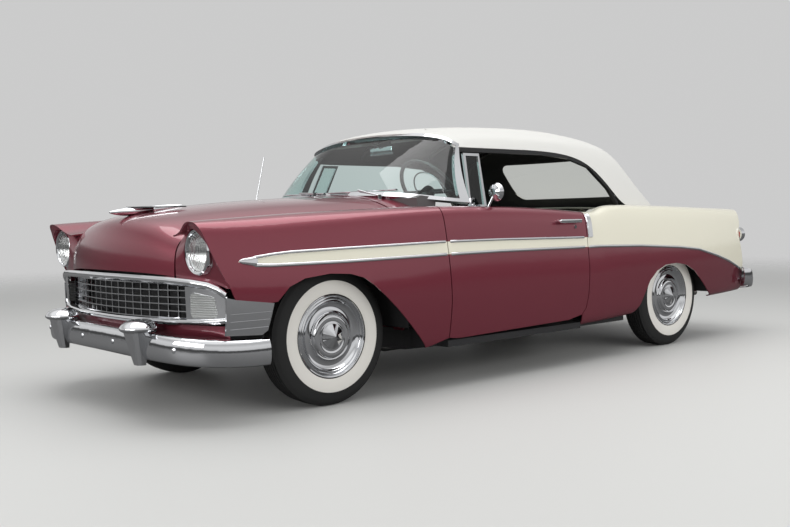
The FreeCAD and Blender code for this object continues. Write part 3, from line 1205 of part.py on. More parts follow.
def steering_wheel():
    rim = Part.makeTorus(STEER_RADIUS, STEER_RIM, WHEEL_CENTRE, COLUMN_AXIS)
    back = WHEEL_CENTRE - COLUMN_AXIS * STEER_HUB_DEPTH
    hub = rod(back, WHEEL_CENTRE - COLUMN_AXIS * (STEER_RIM / 2), STEER_HUB)
    spokes = rod(WHEEL_CENTRE - V(STEER_RADIUS, 0, 0) - COLUMN_AXIS * STEER_RIM * 1.0,
                 WHEEL_CENTRE + V(STEER_RADIUS, 0, 0) - COLUMN_AXIS * STEER_RIM * 1.0, STEER_RIM)
    return joined([rim, hub, spokes])


save("steering_wheel", steering_wheel())
COLUMN = rod(COLUMN_FOOT, WHEEL_CENTRE - COLUMN_AXIS * (STEER_HUB_DEPTH + RUN_CLEAR), COLUMN_RADIUS)
save("dashboard", joined([dashboard(), COLUMN]))

SEAT_EDGE = 45.0
SEAT_HALF_SHARE = 0.70


def cushion(outline_shares, half_share, edge):
    half = HALF_WIDTH * half_share
    shape = polygon([at(0, y, z) - V(half, 0, 0) for y, z in outline_shares]).extrude(V(half + half, 0, 0))
    return shape.makeFillet(edge, shape.Edges)


FRONT_CUSHION_SHARES = ((0.425, 0.47), (0.425, 0.635), (0.610, 0.600), (0.610, 0.47))
FRONT_BACK_SHARES = ((0.6101, 0.47), (0.6101, 0.64), (0.625, 1.00), (0.662, 1.00), (0.655, 0.47))
REAR_CUSHION_SHARES = ((0.739, 0.5003), (0.736, 0.66), (0.842, 0.635), (0.842, 0.557))
REAR_BACK_SHARES = ((0.8421, 0.64), (0.868, 0.955), (0.897, 0.955), (0.887, 0.64))
SEAT_BASE_HALF_SHARE = SEAT_HALF_SHARE * 0.9
SEAT_BASE_BLOCK = block(at(-SEAT_BASE_HALF_SHARE, 0.445, 0.31) + V(0, 0, SEAT_CLEAR),
                        at(SEAT_BASE_HALF_SHARE, 0.595, 0.47))
SEAT_TUNNEL = block(V(-TUNNEL_HALF - SEAT_CLEAR, FRONT_AXLE_Y, 0),
                    V(TUNNEL_HALF + SEAT_CLEAR, REAR_AXLE_Y, TUNNEL_TOP + SEAT_CLEAR))
SEAT_BASE = SEAT_BASE_BLOCK.cut(SEAT_TUNNEL)
save("front_seat", Part.makeCompound([cushion(FRONT_CUSHION_SHARES, SEAT_HALF_SHARE, SEAT_EDGE),
                                      cushion(FRONT_BACK_SHARES, SEAT_HALF_SHARE, SEAT_EDGE * 0.6), SEAT_BASE]))
save("rear_seat", Part.makeCompound([cushion(REAR_CUSHION_SHARES, SEAT_HALF_SHARE * 0.9, SEAT_EDGE * 0.6),
                                     cushion(REAR_BACK_SHARES, SEAT_HALF_SHARE * 0.9, SEAT_EDGE * 0.6)]))

# Front suspension, knuckles and steering reach
KINGPIN_X = 646.0
ARM_TOP = 487.0
ARM_LOW = 213.0
ARM_RADIUS = 14.0
BALL_RADIUS = 18.0
KNUCKLE_HALF = 17.0
SPINDLE_CLEAR = 0.35
SPINDLE_RADIUS = BORE_RADIUS - SPINDLE_CLEAR
SPINDLE_END = 732.0
SPRING_RADIUS = 52.0
CROSS_HALF_X = 380.0
CROSS_LOW = 205.0
CROSS_HIGH = 285.0
ARM_SPREAD = 150.0
JOINT_CLEAR = 0.4
TOWER_RISE = 96.0
SPRING_DROP = 6.0


def suspension_side():
    pieces = []
    for height, root_x in ((ARM_LOW, CROSS_HALF_X * 0.85), (ARM_TOP, CROSS_HALF_X * 1.02)):
        ball = V(KINGPIN_X, FRONT_AXLE_Y, height)
        pieces.append(Part.makeSphere(BALL_RADIUS, ball))
        for side in (-1, 1):
            pieces.append(rod(V(root_x, FRONT_AXLE_Y + side * ARM_SPREAD, height), ball, ARM_RADIUS))
        pieces.append(rod(V(root_x, FRONT_AXLE_Y - ARM_SPREAD * 1.15, height),
                          V(root_x, FRONT_AXLE_Y + ARM_SPREAD * 1.15, height), ARM_RADIUS * 1.2))
    spring_top = V(CROSS_HALF_X * 1.15, FRONT_AXLE_Y, ARM_TOP + TOWER_RISE - SPRING_DROP)
    pieces.append(rod(V(CROSS_HALF_X * 1.22, FRONT_AXLE_Y, ARM_LOW), spring_top, SPRING_RADIUS))
    return pieces


def front_suspension():
    beam_block = block(V(-CROSS_HALF_X, FRONT_AXLE_Y - ARM_SPREAD * 0.6, CROSS_LOW),
                       V(CROSS_HALF_X, FRONT_AXLE_Y + ARM_SPREAD * 0.6, CROSS_HIGH))
    left = suspension_side()
    tower = block(V(CROSS_HALF_X * 0.92, FRONT_AXLE_Y - ARM_SPREAD * 0.6, CROSS_HIGH),
                  V(CROSS_HALF_X * 1.32, FRONT_AXLE_Y + ARM_SPREAD * 0.6, ARM_TOP + TOWER_RISE))
    left.append(tower)
    shapes = [beam_block] + left + [mirrored(s) for s in left]
    return joined(shapes)


save("front_suspension", front_suspension().cut(chassis()))


STEER_ARM_DROP = 60.0
STEER_ARM_TIP = V(-60.0, 170.0, -70.0)


def knuckle():
    upright = rod(V(KINGPIN_X, FRONT_AXLE_Y, ARM_LOW + BALL_RADIUS + JOINT_CLEAR),
                  V(KINGPIN_X, FRONT_AXLE_Y, ARM_TOP - BALL_RADIUS - JOINT_CLEAR), KNUCKLE_HALF)
    axle = V(KINGPIN_X, FRONT_AXLE_Y, TYRE_RADIUS)
    spindle = rod(axle, V(SPINDLE_END, FRONT_AXLE_Y, TYRE_RADIUS), SPINDLE_RADIUS)
    arm = rod(axle - V(KNUCKLE_HALF * 0.3, 0, STEER_ARM_DROP), axle + STEER_ARM_TIP, ARM_RADIUS)
    return joined([upright, spindle, arm])


KNUCKLE = knuckle()
save("knuckle_left", KNUCKLE)
save("knuckle_right", mirrored(KNUCKLE))

# Rear axle on leaf springs
AXLE_TUBE = 40.0
AXLE_END = 672.0
STUB_END = SPINDLE_END + (REAR_TRACK - FRONT_TRACK) / 2
DIFF_RADIUS = 125.0
DIFF_SHARES = ((0.32, 1.30), (0.62, 0.85), (0.90, 0.50), (1.0, 0.20))
SPRING_X = 575.0
SPRING_HALF_WIDTH = 27.0
SPRING_HALF_DEPTH = 17.0
SPRING_ROWS_SHARES = ((0.80, 0.30), (0.88, 0.285), (1.0, 0.285), (1.12, 0.30), (1.22, 0.345))


def rear_axle():
    centre = V(0, REAR_AXLE_Y, TYRE_RADIUS)
    half = [(0, STUB_END), (SPINDLE_RADIUS, STUB_END), (SPINDLE_RADIUS, AXLE_END), (AXLE_TUBE, AXLE_END)]
    half = half + [(DIFF_RADIUS * r, DIFF_RADIUS * along) for r, along in DIFF_SHARES]
    profile = half + [(r, -along) for r, along in reversed(half)]
    nose = rod(centre, centre - V(0, DIFF_RADIUS * 1.7, 0), DIFF_RADIUS * 0.55)
    return joined([turned(profile, centre, V(1, 0, 0)), nose])


REAR_AXLE = rear_axle()
save("rear_axle", REAR_AXLE)
LEAF_LINE = [at(0, y, z) + V(SPRING_X, 0, 0) for y, z in SPRING_ROWS_SHARES]
LEAF = beam(LEAF_LINE, SPRING_HALF_WIDTH, SPRING_HALF_DEPTH)
SADDLE_HALF = 60.0
SADDLE = block(V(SPRING_X - SPRING_HALF_WIDTH, REAR_AXLE_Y - SADDLE_HALF, 0.285 * BELT_HEIGHT),
               V(SPRING_X + SPRING_HALF_WIDTH, REAR_AXLE_Y + SADDLE_HALF, TYRE_RADIUS))
LEAF_LEFT = joined([LEAF, SADDLE]).cut(REAR_AXLE)
save("leaf_springs", Part.makeCompound([LEAF_LEFT, mirrored(LEAF_LEFT)]))

# Engine with its transmission, and the drive shaft to the rear axle
ENGINE_HALF = 250.0
ENGINE_LOW = CROSS_HIGH + SEAT_CLEAR
ENGINE_HIGH = 800.0
ENGINE_SHARES = (-0.085, 0.150)
CLEANER_RADIUS = 170.0
CLEANER_HEIGHT = 90.0
BOX_HALF = 105.0
BOX_END_SHARE = 0.34
SHAFT_RADIUS = 28.0
SHAFT_Z = 350.0


def engine():
    body = block(V(-ENGINE_HALF, at(0, ENGINE_SHARES[0], 0).y, ENGINE_LOW),
                 V(ENGINE_HALF, at(0, ENGINE_SHARES[1], 0).y, ENGINE_HIGH))
    cleaner = Part.makeCylinder(CLEANER_RADIUS, CLEANER_HEIGHT,
                                V(0, at(0, sum(ENGINE_SHARES) / 2, 0).y, ENGINE_HIGH))
    gearbox = block(V(-BOX_HALF, at(0, ENGINE_SHARES[1], 0).y, ENGINE_LOW),
                    V(BOX_HALF, at(0, BOX_END_SHARE, 0).y, ENGINE_LOW + BOX_HALF))
    return joined([body, cleaner, gearbox])


save("engine_block", engine())
SHAFT_END = V(0, REAR_AXLE_Y - DIFF_RADIUS * 1.7, SHAFT_Z)
SHAFT = rod(V(0, at(0, BOX_END_SHARE, 0).y, SHAFT_Z), SHAFT_END, SHAFT_RADIUS)
save("drive_shaft", SHAFT)

# Radiator in its support between the fenders
RADIATOR_HALF = 290.0
RADIATOR_LOW = 330.0
RADIATOR_HIGH = 860.0
SUPPORT_HALF = 560.0
SUPPORT_SKIN = 8.0


def radiator():
    core = block(V(-RADIATOR_HALF, at(0, RADIATOR_SHARES[0], 0).y, RADIATOR_LOW),
                 V(RADIATOR_HALF, at(0, RADIATOR_SHARES[1], 0).y, RADIATOR_HIGH))
    y = at(0, RADIATOR_SHARES[0], 0).y
    support = block(V(-SUPPORT_HALF, y, RADIATOR_LOW),
                    V(SUPPORT_HALF, y + SUPPORT_SKIN, RADIATOR_HIGH - OVERRUN))
    return joined([core, support])


save("radiator", radiator().cut(chassis()))

# Wheel housings: arched shells over the four wheels
HOUSING_SKIN = 4.0
FRONT_HOUSING = (448.0, 470.0, 880.0)


def housing(axle_y, radius, inner_x, outer_x):
    centre = V(inner_x, axle_y, TYRE_RADIUS)
    reach = V(outer_x - inner_x, 0, 0)
    shell = Part.makeCylinder(radius, reach.x, centre, V(1, 0, 0))
    hollow = Part.makeCylinder(radius - HOUSING_SKIN, reach.x, centre + V(HOUSING_SKIN, 0, 0), V(1, 0, 0))
    shell = shell.cut(hollow)
    keep = block(V(0, axle_y - radius, TYRE_RADIUS + HOUSING_SKIN),
                 V(HALF_WIDTH, axle_y + radius, BELT_HEIGHT * 1.1))
    inside = between(inset(SIDE_CAGE, SKIN * 1.5), SIDE_CORE_IN)
    return shell.common(keep).common(inside)


SIDE_CORE_IN = [[at(0.30, row[0], 0.30)] * len(SIDE_CAGE[0]) for row in SIDE_SHARES]
FRONT_HOUSING_LEFT = housing(FRONT_AXLE_Y, *FRONT_HOUSING)
REAR_HOUSING_LEFT = housing(REAR_AXLE_Y, *REAR_HOUSING)
save("wheel_housings", Part.makeCompound([FRONT_HOUSING_LEFT, mirrored(FRONT_HOUSING_LEFT),
                                          REAR_HOUSING_LEFT, mirrored(REAR_HOUSING_LEFT)]))

# Exhaust pipes with mufflers, and the fuel tank
PIPE_RADIUS = 24.0
PIPE_SHARES = ((0.30, 0.10, 0.30), (0.33, 0.26, 0.169), (0.33, 0.84, 0.169), (0.42, 0.94, 0.47),
               (0.447, 1.06, 0.47), (0.447, 1.13, 0.30), (0.447, 1.335, 0.292))
MUFFLER_SHARES = (0.40, 0.555)
MUFFLER_RADIUS = 58.0
TANK_LOW = 399.0
TANK_HIGH = 578.7
TANK_HALF = 370.0
TANK_SHARES = (1.09, 1.22)
TANK_EDGE = 40.0


def exhaust():
    pipe = bent_rod([at(x, y, z) for x, y, z in PIPE_SHARES], PIPE_RADIUS)
    muffler = rod(at(0.33, MUFFLER_SHARES[0], 0.19), at(0.33, MUFFLER_SHARES[1], 0.19), MUFFLER_RADIUS)
    return joined([pipe, muffler])


EXHAUST = exhaust()
save("exhaust", Part.makeCompound([EXHAUST, mirrored(EXHAUST)]))
TANK = block(V(-TANK_HALF, at(0, TANK_SHARES[0], 0).y, TANK_LOW),
             V(TANK_HALF, at(0, TANK_SHARES[1], 0).y, TANK_HIGH))
save("fuel_tank", TANK.makeFillet(TANK_EDGE, TANK.Edges))

# Pieces that seat against each other: the first is cut to the faces of the others
FITS = (
    ("tail_panel", ("rear_bumper", "chassis_frame", "quarter_panel_left", "quarter_panel_right")),
    ("grille", ("grille_surround",)),
    ("parking_lamps", ("grille_surround",)),
    ("wheel_housings", ("front_suspension", "rear_axle", "front_bumper", "chassis_frame")),
    ("cowl_panel", ("engine_block", "door_posts", "chassis_frame", "floor_pan", "front_fender_left",
                    "front_fender_right")),
    ("windshield_glass", ("cowl_panel",)),
    ("windshield_frame", ("cowl_panel",)),
    ("dashboard", ("cowl_panel", "windshield_frame", "windshield_glass", "door_posts", "front_fender_left",
                   "front_fender_right")),
    ("floor_pan", ("door_posts", "chassis_frame", "wheel_housings")),
    ("soft_top", ("windshield_frame", "windshield_glass", "rear_deck", "quarter_panel_left",
                  "quarter_panel_right")),
    ("top_frame", ("windshield_frame", "quarter_panel_left", "quarter_panel_right", "soft_top")),
    ("leaf_springs", ("chassis_frame",)),
    ("exhaust", ("chassis_frame",)),
    ("tyre_front_left", ("wheel_front_left",)),
    ("tyre_front_right", ("wheel_front_right",)),
    ("tyre_rear_left", ("wheel_rear_left",)),
    ("tyre_rear_right", ("wheel_rear_right",)),
)
for name, others in FITS:
    for other in others:
        if PIECES[name].BoundBox.intersect(PIECES[other].BoundBox):
            PIECES[name] = PIECES[name].cut(PIECES[other])

for name, shape in PIECES.items():
    shape.exportStep("parts/" + name + ".step")
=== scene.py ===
import math

import bmesh
import bpy
from mathutils import Matrix, Vector
from mathutils.bvhtree import BVHTree


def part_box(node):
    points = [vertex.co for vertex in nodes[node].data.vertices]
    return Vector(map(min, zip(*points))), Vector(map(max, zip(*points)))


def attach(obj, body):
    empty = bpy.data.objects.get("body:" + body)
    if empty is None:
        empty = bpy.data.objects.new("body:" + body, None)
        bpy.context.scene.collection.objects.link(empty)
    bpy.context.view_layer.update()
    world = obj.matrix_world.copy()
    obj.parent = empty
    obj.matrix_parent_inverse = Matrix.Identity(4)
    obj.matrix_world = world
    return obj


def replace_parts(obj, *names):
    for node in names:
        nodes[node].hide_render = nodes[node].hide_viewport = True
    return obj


# Two-door convertible car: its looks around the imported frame. Metres, front at -Y, the car's left at +X.
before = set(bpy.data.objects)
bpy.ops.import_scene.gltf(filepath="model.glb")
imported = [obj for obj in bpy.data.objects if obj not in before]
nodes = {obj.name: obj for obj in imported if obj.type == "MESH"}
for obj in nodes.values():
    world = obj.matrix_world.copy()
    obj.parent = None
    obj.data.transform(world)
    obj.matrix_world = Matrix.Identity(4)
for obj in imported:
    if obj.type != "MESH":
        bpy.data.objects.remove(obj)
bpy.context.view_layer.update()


# Painted panels: pressed steel in dusty rose metallic lacquer, with ivory on the deck, the lid and the sides.
# On the sides the ivory lies between two bright mouldings, and above the lower one behind the door.
def finish(name, colour, roughness, metallic=0.0, coat=0.0, coat_roughness=0.03):
    """A plain material of one Principled shader."""
    material = bpy.data.materials.new(name)
    material.use_nodes = True
    shader = material.node_tree.nodes["Principled BSDF"]
    shader.inputs["Base Color"].default_value = (*colour, 1.0)
    shader.inputs["Roughness"].default_value = roughness
    shader.inputs["Metallic"].default_value = metallic
    shader.inputs["Coat Weight"].default_value = coat
    shader.inputs["Coat Roughness"].default_value = coat_roughness
    return material


def dress(material, *names):
    """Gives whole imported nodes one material."""
    for name in names:
        nodes[name].data.materials.clear()
        nodes[name].data.materials.append(material)


ROSE = (0.215, 0.032, 0.052)
IVORY = (0.68, 0.655, 0.54)
ROSE_METALLIC = 0.6
ROSE_ROUGHNESS = 0.34
ROSE_COAT = 0.9
SPEAR_TIP_Y = -2.149
DIP_Y = 0.3435
UPPER_LINE = ((-2.149, 0.740), (-2.123, 0.747), (-2.083, 0.754), (-1.978, 0.766), (-1.875, 0.773),
              (-1.668, 0.777), (-1.578, 0.779), (-0.881, 0.790), (-0.476, 0.789), (0.294, 0.779),
              (0.350, 0.778))
LOWER_LINE = ((-2.149, 0.740), (-2.113, 0.728), (-2.040, 0.720), (-1.981, 0.717), (-1.580, 0.716),
              (-0.884, 0.723), (-0.476, 0.725), (0.294, 0.720), (0.433, 0.720), (0.857, 0.709),
              (1.322, 0.683), (1.573, 0.660), (1.837, 0.603), (2.000, 0.560), (2.115, 0.521),
              (2.172, 0.500), (2.260, 0.465))
LINE_HALF_RANGE = 2.6
CURVE_CEILING = 2.0
CURVE_STEP = 0.0005
rose_paint = finish("rose_paint", ROSE, ROSE_ROUGHNESS, metallic=ROSE_METALLIC, coat=ROSE_COAT)
ivory_paint = finish("ivory_paint", IVORY, 0.35, coat=1.0)
dress(rose_paint, "hood", "cowl_panel", "tail_panel", "front_valance")
dress(ivory_paint, "rear_deck", "trunk_lid")


def height_curve(tree, place, line, stops_at_dip):
    """A curve from the place along Y to a height along Z, both scaled to 0..1."""
    spread = tree.nodes.new("ShaderNodeMapRange")
    spread.inputs["From Min"].default_value = -LINE_HALF_RANGE
    spread.inputs["From Max"].default_value = LINE_HALF_RANGE
    curve = tree.nodes.new("ShaderNodeFloatCurve")
    points = [((y + LINE_HALF_RANGE) / (2 * LINE_HALF_RANGE), z / CURVE_CEILING) for y, z in line]
    if stops_at_dip:
        edge = (DIP_Y + LINE_HALF_RANGE) / (2 * LINE_HALF_RANGE)
        points = [p for p in points if p[0] < edge - 2 * CURVE_STEP]
        points += [(edge - CURVE_STEP, points[-1][1]), (edge, 1.0)]
    curve_points = curve.mapping.curves[0].points
    curve_points[0].location = (0.0, points[0][1])
    curve_points[1].location = (1.0, points[-1][1])
    for x, y in points:
        curve_points.new(x, y)
    for point in curve_points:
        point.handle_type = "VECTOR"
    curve.mapping.update()
    tree.links.new(place, spread.inputs["Value"])
    tree.links.new(spread.outputs["Result"], curve.inputs["Value"])
    return curve.outputs["Value"]


def math_node(tree, operation, first, second):
    """A math node on two sockets or numbers. A difference is held between 0 and 1."""
    node = tree.nodes.new("ShaderNodeMath")
    node.operation = operation
    node.use_clamp = operation == "SUBTRACT"
    for socket, value in zip(node.inputs, (first, second)):
        if isinstance(value, float):
            socket.default_value = value
        else:
            tree.links.new(value, socket)
    return node.outputs["Value"]


def two_tone_group():
    """Base colour and metallic share of the body sides, from the place on the car."""
    tree = bpy.data.node_groups.new("two_tone_mask", "ShaderNodeTree")
    tree.interface.new_socket(name="Color", in_out="OUTPUT", socket_type="NodeSocketColor")
    tree.interface.new_socket(name="Metallic", in_out="OUTPUT", socket_type="NodeSocketFloat")
    output = tree.nodes.new("NodeGroupOutput")
    place = tree.nodes.new("ShaderNodeTexCoord")
    split = tree.nodes.new("ShaderNodeSeparateXYZ")
    tree.links.new(place.outputs["Object"], split.inputs["Vector"])
    height = math_node(tree, "DIVIDE", split.outputs["Z"], CURVE_CEILING)
    lower = math_node(tree, "GREATER_THAN", height, height_curve(tree, split.outputs["Y"], LOWER_LINE, False))
    upper = math_node(tree, "GREATER_THAN", height, height_curve(tree, split.outputs["Y"], UPPER_LINE, True))
    band = math_node(tree, "SUBTRACT", lower, upper)
    behind = math_node(tree, "GREATER_THAN", split.outputs["Y"], SPEAR_TIP_Y)
    mask = math_node(tree, "MULTIPLY", band, behind)
    colours = tree.nodes.new("ShaderNodeMix")
    colours.data_type = "RGBA"
    for socket in colours.inputs:
        if socket.type == "RGBA":
            socket.default_value = (*(ROSE if socket.name == "A" else IVORY), 1.0)
    tree.links.new(mask, colours.inputs["Factor"])
    result = [s for s in colours.outputs if s.type == "RGBA"][0]
    tree.links.new(result, output.inputs["Color"])
    rose_share = math_node(tree, "SUBTRACT", 1.0, mask)
    tree.links.new(math_node(tree, "MULTIPLY", rose_share, ROSE_METALLIC), output.inputs["Metallic"])
    return tree


two_tone_paint = finish("two_tone_paint", ROSE, ROSE_ROUGHNESS, metallic=ROSE_METALLIC, coat=ROSE_COAT)
two_tone_mask = two_tone_paint.node_tree.nodes.new("ShaderNodeGroup")
two_tone_mask.node_tree = two_tone_group()
for socket_name, input_name in (("Color", "Base Color"), ("Metallic", "Metallic")):
    two_tone_paint.node_tree.links.new(
        two_tone_mask.outputs[socket_name],
        two_tone_paint.node_tree.nodes["Principled BSDF"].inputs[input_name],
    )
for part in ("front_fender", "door", "quarter_panel"):
    dress(two_tone_paint, part + "_left", part + "_right")

# Bright parts: pressed steel and die castings under polished chrome, bolted to the body.
# The windshield frame and the antenna are as bright. The wheels behind the covers are duller.
chrome = finish("chrome", (0.80, 0.81, 0.83), 0.06, metallic=1.0)
dull_chrome = finish("dull_chrome", (0.50, 0.51, 0.53), 0.28, metallic=1.0)
dress(chrome, "door_mirror", "front_bumper", "rear_bumper", "grille", "grille_surround", "headlamp_rims",
      "hood_ornament", "tail_lamp_rims", "vent_frame_left", "vent_frame_right", "windshield_frame", "antenna")
dress(dull_chrome, "wheel_front_left", "wheel_front_right", "wheel_rear_left", "wheel_rear_right")

# Running gear and underside: forged and pressed steel in black chassis paint, with a bare steel exhaust.
# The frame of the folding top is black enamelled steel.
under_black = finish("under_black", (0.018, 0.018, 0.019), 0.6)
top_enamel = finish("top_enamel", (0.015, 0.015, 0.016), 0.35, coat=0.3)
pipe_steel = finish("pipe_steel", (0.38, 0.37, 0.36), 0.4, metallic=1.0)
dress(under_black, "chassis_frame", "drive_shaft", "engine_block", "front_suspension", "fuel_tank",
      "knuckle_left", "knuckle_right", "leaf_springs", "radiator", "rear_axle", "wheel_housings", "floor_pan",
      "door_posts")
dress(top_enamel, "top_frame")
dress(pipe_steel, "exhaust")


# Window glass: thin clear sheets in the windshield and the vent windows, and a clear vinyl pane in the top.
# Light goes straight through, and a sheet mirrors on its outer side only, more at a flat angle.
GLASS_ROUGHNESS = 0.02


def glass(name, tint, index):
    """A clear sheet of a tint, which mirrors as glass of the index does."""
    material = bpy.data.materials.new(name)
    material.use_nodes = True
    tree = material.node_tree
    tree.nodes.clear()
    output = tree.nodes.new("ShaderNodeOutputMaterial")
    mix = tree.nodes.new("ShaderNodeMixShader")
    clear = tree.nodes.new("ShaderNodeBsdfTransparent")
    clear.inputs["Color"].default_value = (*tint, 1.0)
    mirror = tree.nodes.new("ShaderNodeBsdfGlossy")
    mirror.inputs["Roughness"].default_value = GLASS_ROUGHNESS
    angle = tree.nodes.new("ShaderNodeFresnel")
    angle.inputs["IOR"].default_value = index
    facing = tree.nodes.new("ShaderNodeNewGeometry")
    front_only = math_node(tree, "SUBTRACT", 1.0, facing.outputs["Backfacing"])
    tree.links.new(math_node(tree, "MULTIPLY", angle.outputs["Fac"], front_only), mix.inputs["Fac"])
    tree.links.new(clear.outputs["BSDF"], mix.inputs[1])
    tree.links.new(mirror.outputs["BSDF"], mix.inputs[2])
    tree.links.new(mix.outputs["Shader"], output.inputs["Surface"])
    return material


window_glass = glass("window_glass", (0.84, 0.92, 0.91), 1.62)
vinyl_window = glass("vinyl_window", (0.90, 0.91, 0.89), 1.4)
dress(window_glass, "windshield_glass", "vent_glass_left", "vent_glass_right")
dress(vinyl_window, "rear_window")


# Side mouldings: rolled stainless strips clipped to the fender, the door and the quarter panel.
# They meet in a cast spear point on the fender, and the strips on a door swing with it.
SIDES = ((1, "left"), (-1, "right"))
OUTSIDE_X = 1.3
GRID_EDGE = 0.4999
STRIP_HEIGHT = 0.008
STRIP_STEP = 0.03
STRIP_SINK = 0.002
STRIP_TRIALS = 800
STRIP_ROWS = 10
UPPER_WIDTH = 0.016
LOWER_WIDTH = 0.019
SPEAR_WIDTH = 0.050
SPEAR_POINT = 0.004
SPEAR_LENGTH = 0.11
SPEAR_START_Y = -2.075
SPEAR_END_Y = -2.045
FENDER_END_Y = -0.873
DOOR_START_Y = -0.863
DOOR_END_Y = 0.291
QUARTER_START_Y = 0.302
TAIL_END_Y = 2.21
SPEAR_LINE = ((-2.149, 0.742), (-2.04, 0.738))


def surface_of(*names):
    """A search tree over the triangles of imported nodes."""
    points = []
    polygons = []
    for name in names:
        mesh = nodes[name].data
        start = len(points)
        points += [v.co.copy() for v in mesh.vertices]
        polygons += [[start + i for i in p.vertices] for p in mesh.polygons]
    return BVHTree.FromPolygons(points, polygons)


def from_side(tree, side, y, z):
    """The outermost surface point at (y, z), looking in from the given side."""
    return tree.ray_cast(Vector((side * OUTSIDE_X, y, z)), Vector((-side, 0, 0)))[0]


def line_height(line, y):
    """The height of a line of (y, height) points at y, level in front of its first point."""
    for (y0, z0), (y1, z1) in zip(line, line[1:]):
        if y <= y1:
            return z0 + (z1 - z0) * max(0.0, (y - y0) / (y1 - y0))
    return line[-1][1]


def piece_from(name, build, body, *materials, sharp_degrees=40):
    """Turns a finished bmesh into a piece that rides on a body."""
    mesh = bpy.data.meshes.new(name)
    build.to_mesh(mesh)
    build.free()
    for polygon in mesh.polygons:
        polygon.use_smooth = True
    mesh.set_sharp_from_angle(angle=math.radians(sharp_degrees))
    for material in materials:
        mesh.materials.append(material)
    piece = bpy.data.objects.new(name, mesh)
    bpy.context.scene.collection.objects.link(piece)
    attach(piece, body)
    return piece


def face_along(build, direction):
    """Turns an open sheet's faces so that they look along the direction."""
    build.normal_update()
    if sum(f.normal.dot(direction) * f.calc_area() for f in build.faces) < 0:
        bmesh.ops.reverse_faces(build, faces=build.faces[:])


def clipped(tree, side, line, span, width):
    """The part of the span where the panel lies under the strip's whole width."""
    good = []
    for i in range(STRIP_TRIALS + 1):
        y = span[0] + (span[1] - span[0]) * i / STRIP_TRIALS
        edges = [line_height(line, y) + share * width(y) for share in (-0.5, 0.5)]
        if all(from_side(tree, side, y, z) is not None for z in edges):
            good.append(y)
    return good[0], good[-1]


def laid_strip(name, tree, body, side, line, span, width, material):
    """A raised strip laid on the surface along a height line; width is a function of y."""
    start, end = clipped(tree, side, line, span, width)
    build = bmesh.new()
    bmesh.ops.create_grid(build, x_segments=round((end - start) / STRIP_STEP) + 2, y_segments=STRIP_ROWS,
                          size=0.5)
    for vert in build.verts:
        y = start + (end - start) * (vert.co.x + 0.5)
        z = line_height(line, y)
        wide = width(y)
        share = vert.co.y
        upper = from_side(tree, side, y, z + wide / 2)
        lower = from_side(tree, side, y, z - wide / 2)
        across = (upper - lower).normalized()
        out = across.cross(Vector((0, side, 0)))
        if out.x * side < 0:
            out = -out
        at_end = abs(vert.co.x) > GRID_EDGE
        rise = STRIP_HEIGHT * math.sqrt(max(0.0, 1 - (2 * abs(share)) ** 3))
        if at_end or abs(share) > GRID_EDGE:
            rise = -STRIP_SINK
        vert.co = (upper + lower) / 2 + across * share * wide + out * rise
    face_along(build, Vector((side, 0, 0)))
    return piece_from(name, build, body, material)


def spear_width(y):
    """The spear point's width, from its blunt tip back."""
    part = (y - SPEAR_TIP_Y) / SPEAR_LENGTH
    return SPEAR_POINT + SPEAR_WIDTH * math.sqrt(max(0.0, min(1.0, part)))


for side, word in SIDES:
    fender = surface_of("front_fender_" + word)
    door = surface_of("door_" + word)
    quarter = surface_of("quarter_panel_" + word)
    laid_strip("spear_nose_" + word, fender, "car_body", side, SPEAR_LINE, (SPEAR_TIP_Y, SPEAR_END_Y),
               spear_width, chrome)
    for level, line, width in (("upper", UPPER_LINE, UPPER_WIDTH), ("lower", LOWER_LINE, LOWER_WIDTH)):
        laid_strip(f"fender_{level}_strip_{word}", fender, "car_body", side, line,
                   (SPEAR_START_Y, FENDER_END_Y), lambda y: width, chrome)
        laid_strip(f"door_{level}_strip_{word}", door, "door_" + word, side, line,
                   (DOOR_START_Y, DOOR_END_Y), lambda y: width, chrome)
    laid_strip("quarter_lower_strip_" + word, quarter, "car_body", side, LOWER_LINE,
               (QUARTER_START_Y, TAIL_END_Y), lambda y: LOWER_WIDTH, chrome)

# Dip castings: ribbed bright pieces that stand in the dip of the beltline, just behind the doors.
# They are die-cast, plated and screwed to the quarter panels.
DIP_SPAN = (0.322, 0.366)
DIP_HEIGHTS = (0.775, 0.925)
DIP_GRID = (40, 24)
DIP_RIBS = 4
DIP_RISE = 0.009
DIP_FLOOR = 0.45


def between(span, share):
    """The place in a span, for a share of a grid from -0.5 to 0.5."""
    return span[0] + (span[1] - span[0]) * (share + 0.5)


def draped(grid, lay):
    """An open grid, each point laid by a function of its shares. Points that find no place are left out."""
    build = bmesh.new()
    bmesh.ops.create_grid(build, x_segments=grid[0], y_segments=grid[1], size=0.5)
    lost = []
    for vert in build.verts:
        place = lay(vert.co.x, vert.co.y)
        if place is None:
            lost.append(vert)
        else:
            vert.co = place
    bmesh.ops.delete(build, geom=lost, context="VERTS")
    return build


def dip_point(quarter, side, across, upward):
    place = from_side(quarter, side, between(DIP_SPAN, across), between(DIP_HEIGHTS, upward))
    rib = abs(math.sin(math.pi * DIP_RIBS * (across + 0.5)))
    edge = max(abs(across), abs(upward)) > GRID_EDGE
    rise = -STRIP_SINK if edge else DIP_RISE * (DIP_FLOOR + (1 - DIP_FLOOR) * rib)
    return place + Vector((side * rise, 0, 0))


for side, word in SIDES:
    quarter = surface_of("quarter_panel_" + word)
    build = draped(DIP_GRID, lambda across, upward: dip_point(quarter, side, across, upward))
    face_along(build, Vector((side, 0, 0)))
    piece_from("dip_casting_" + word, build, "car_body", chrome)


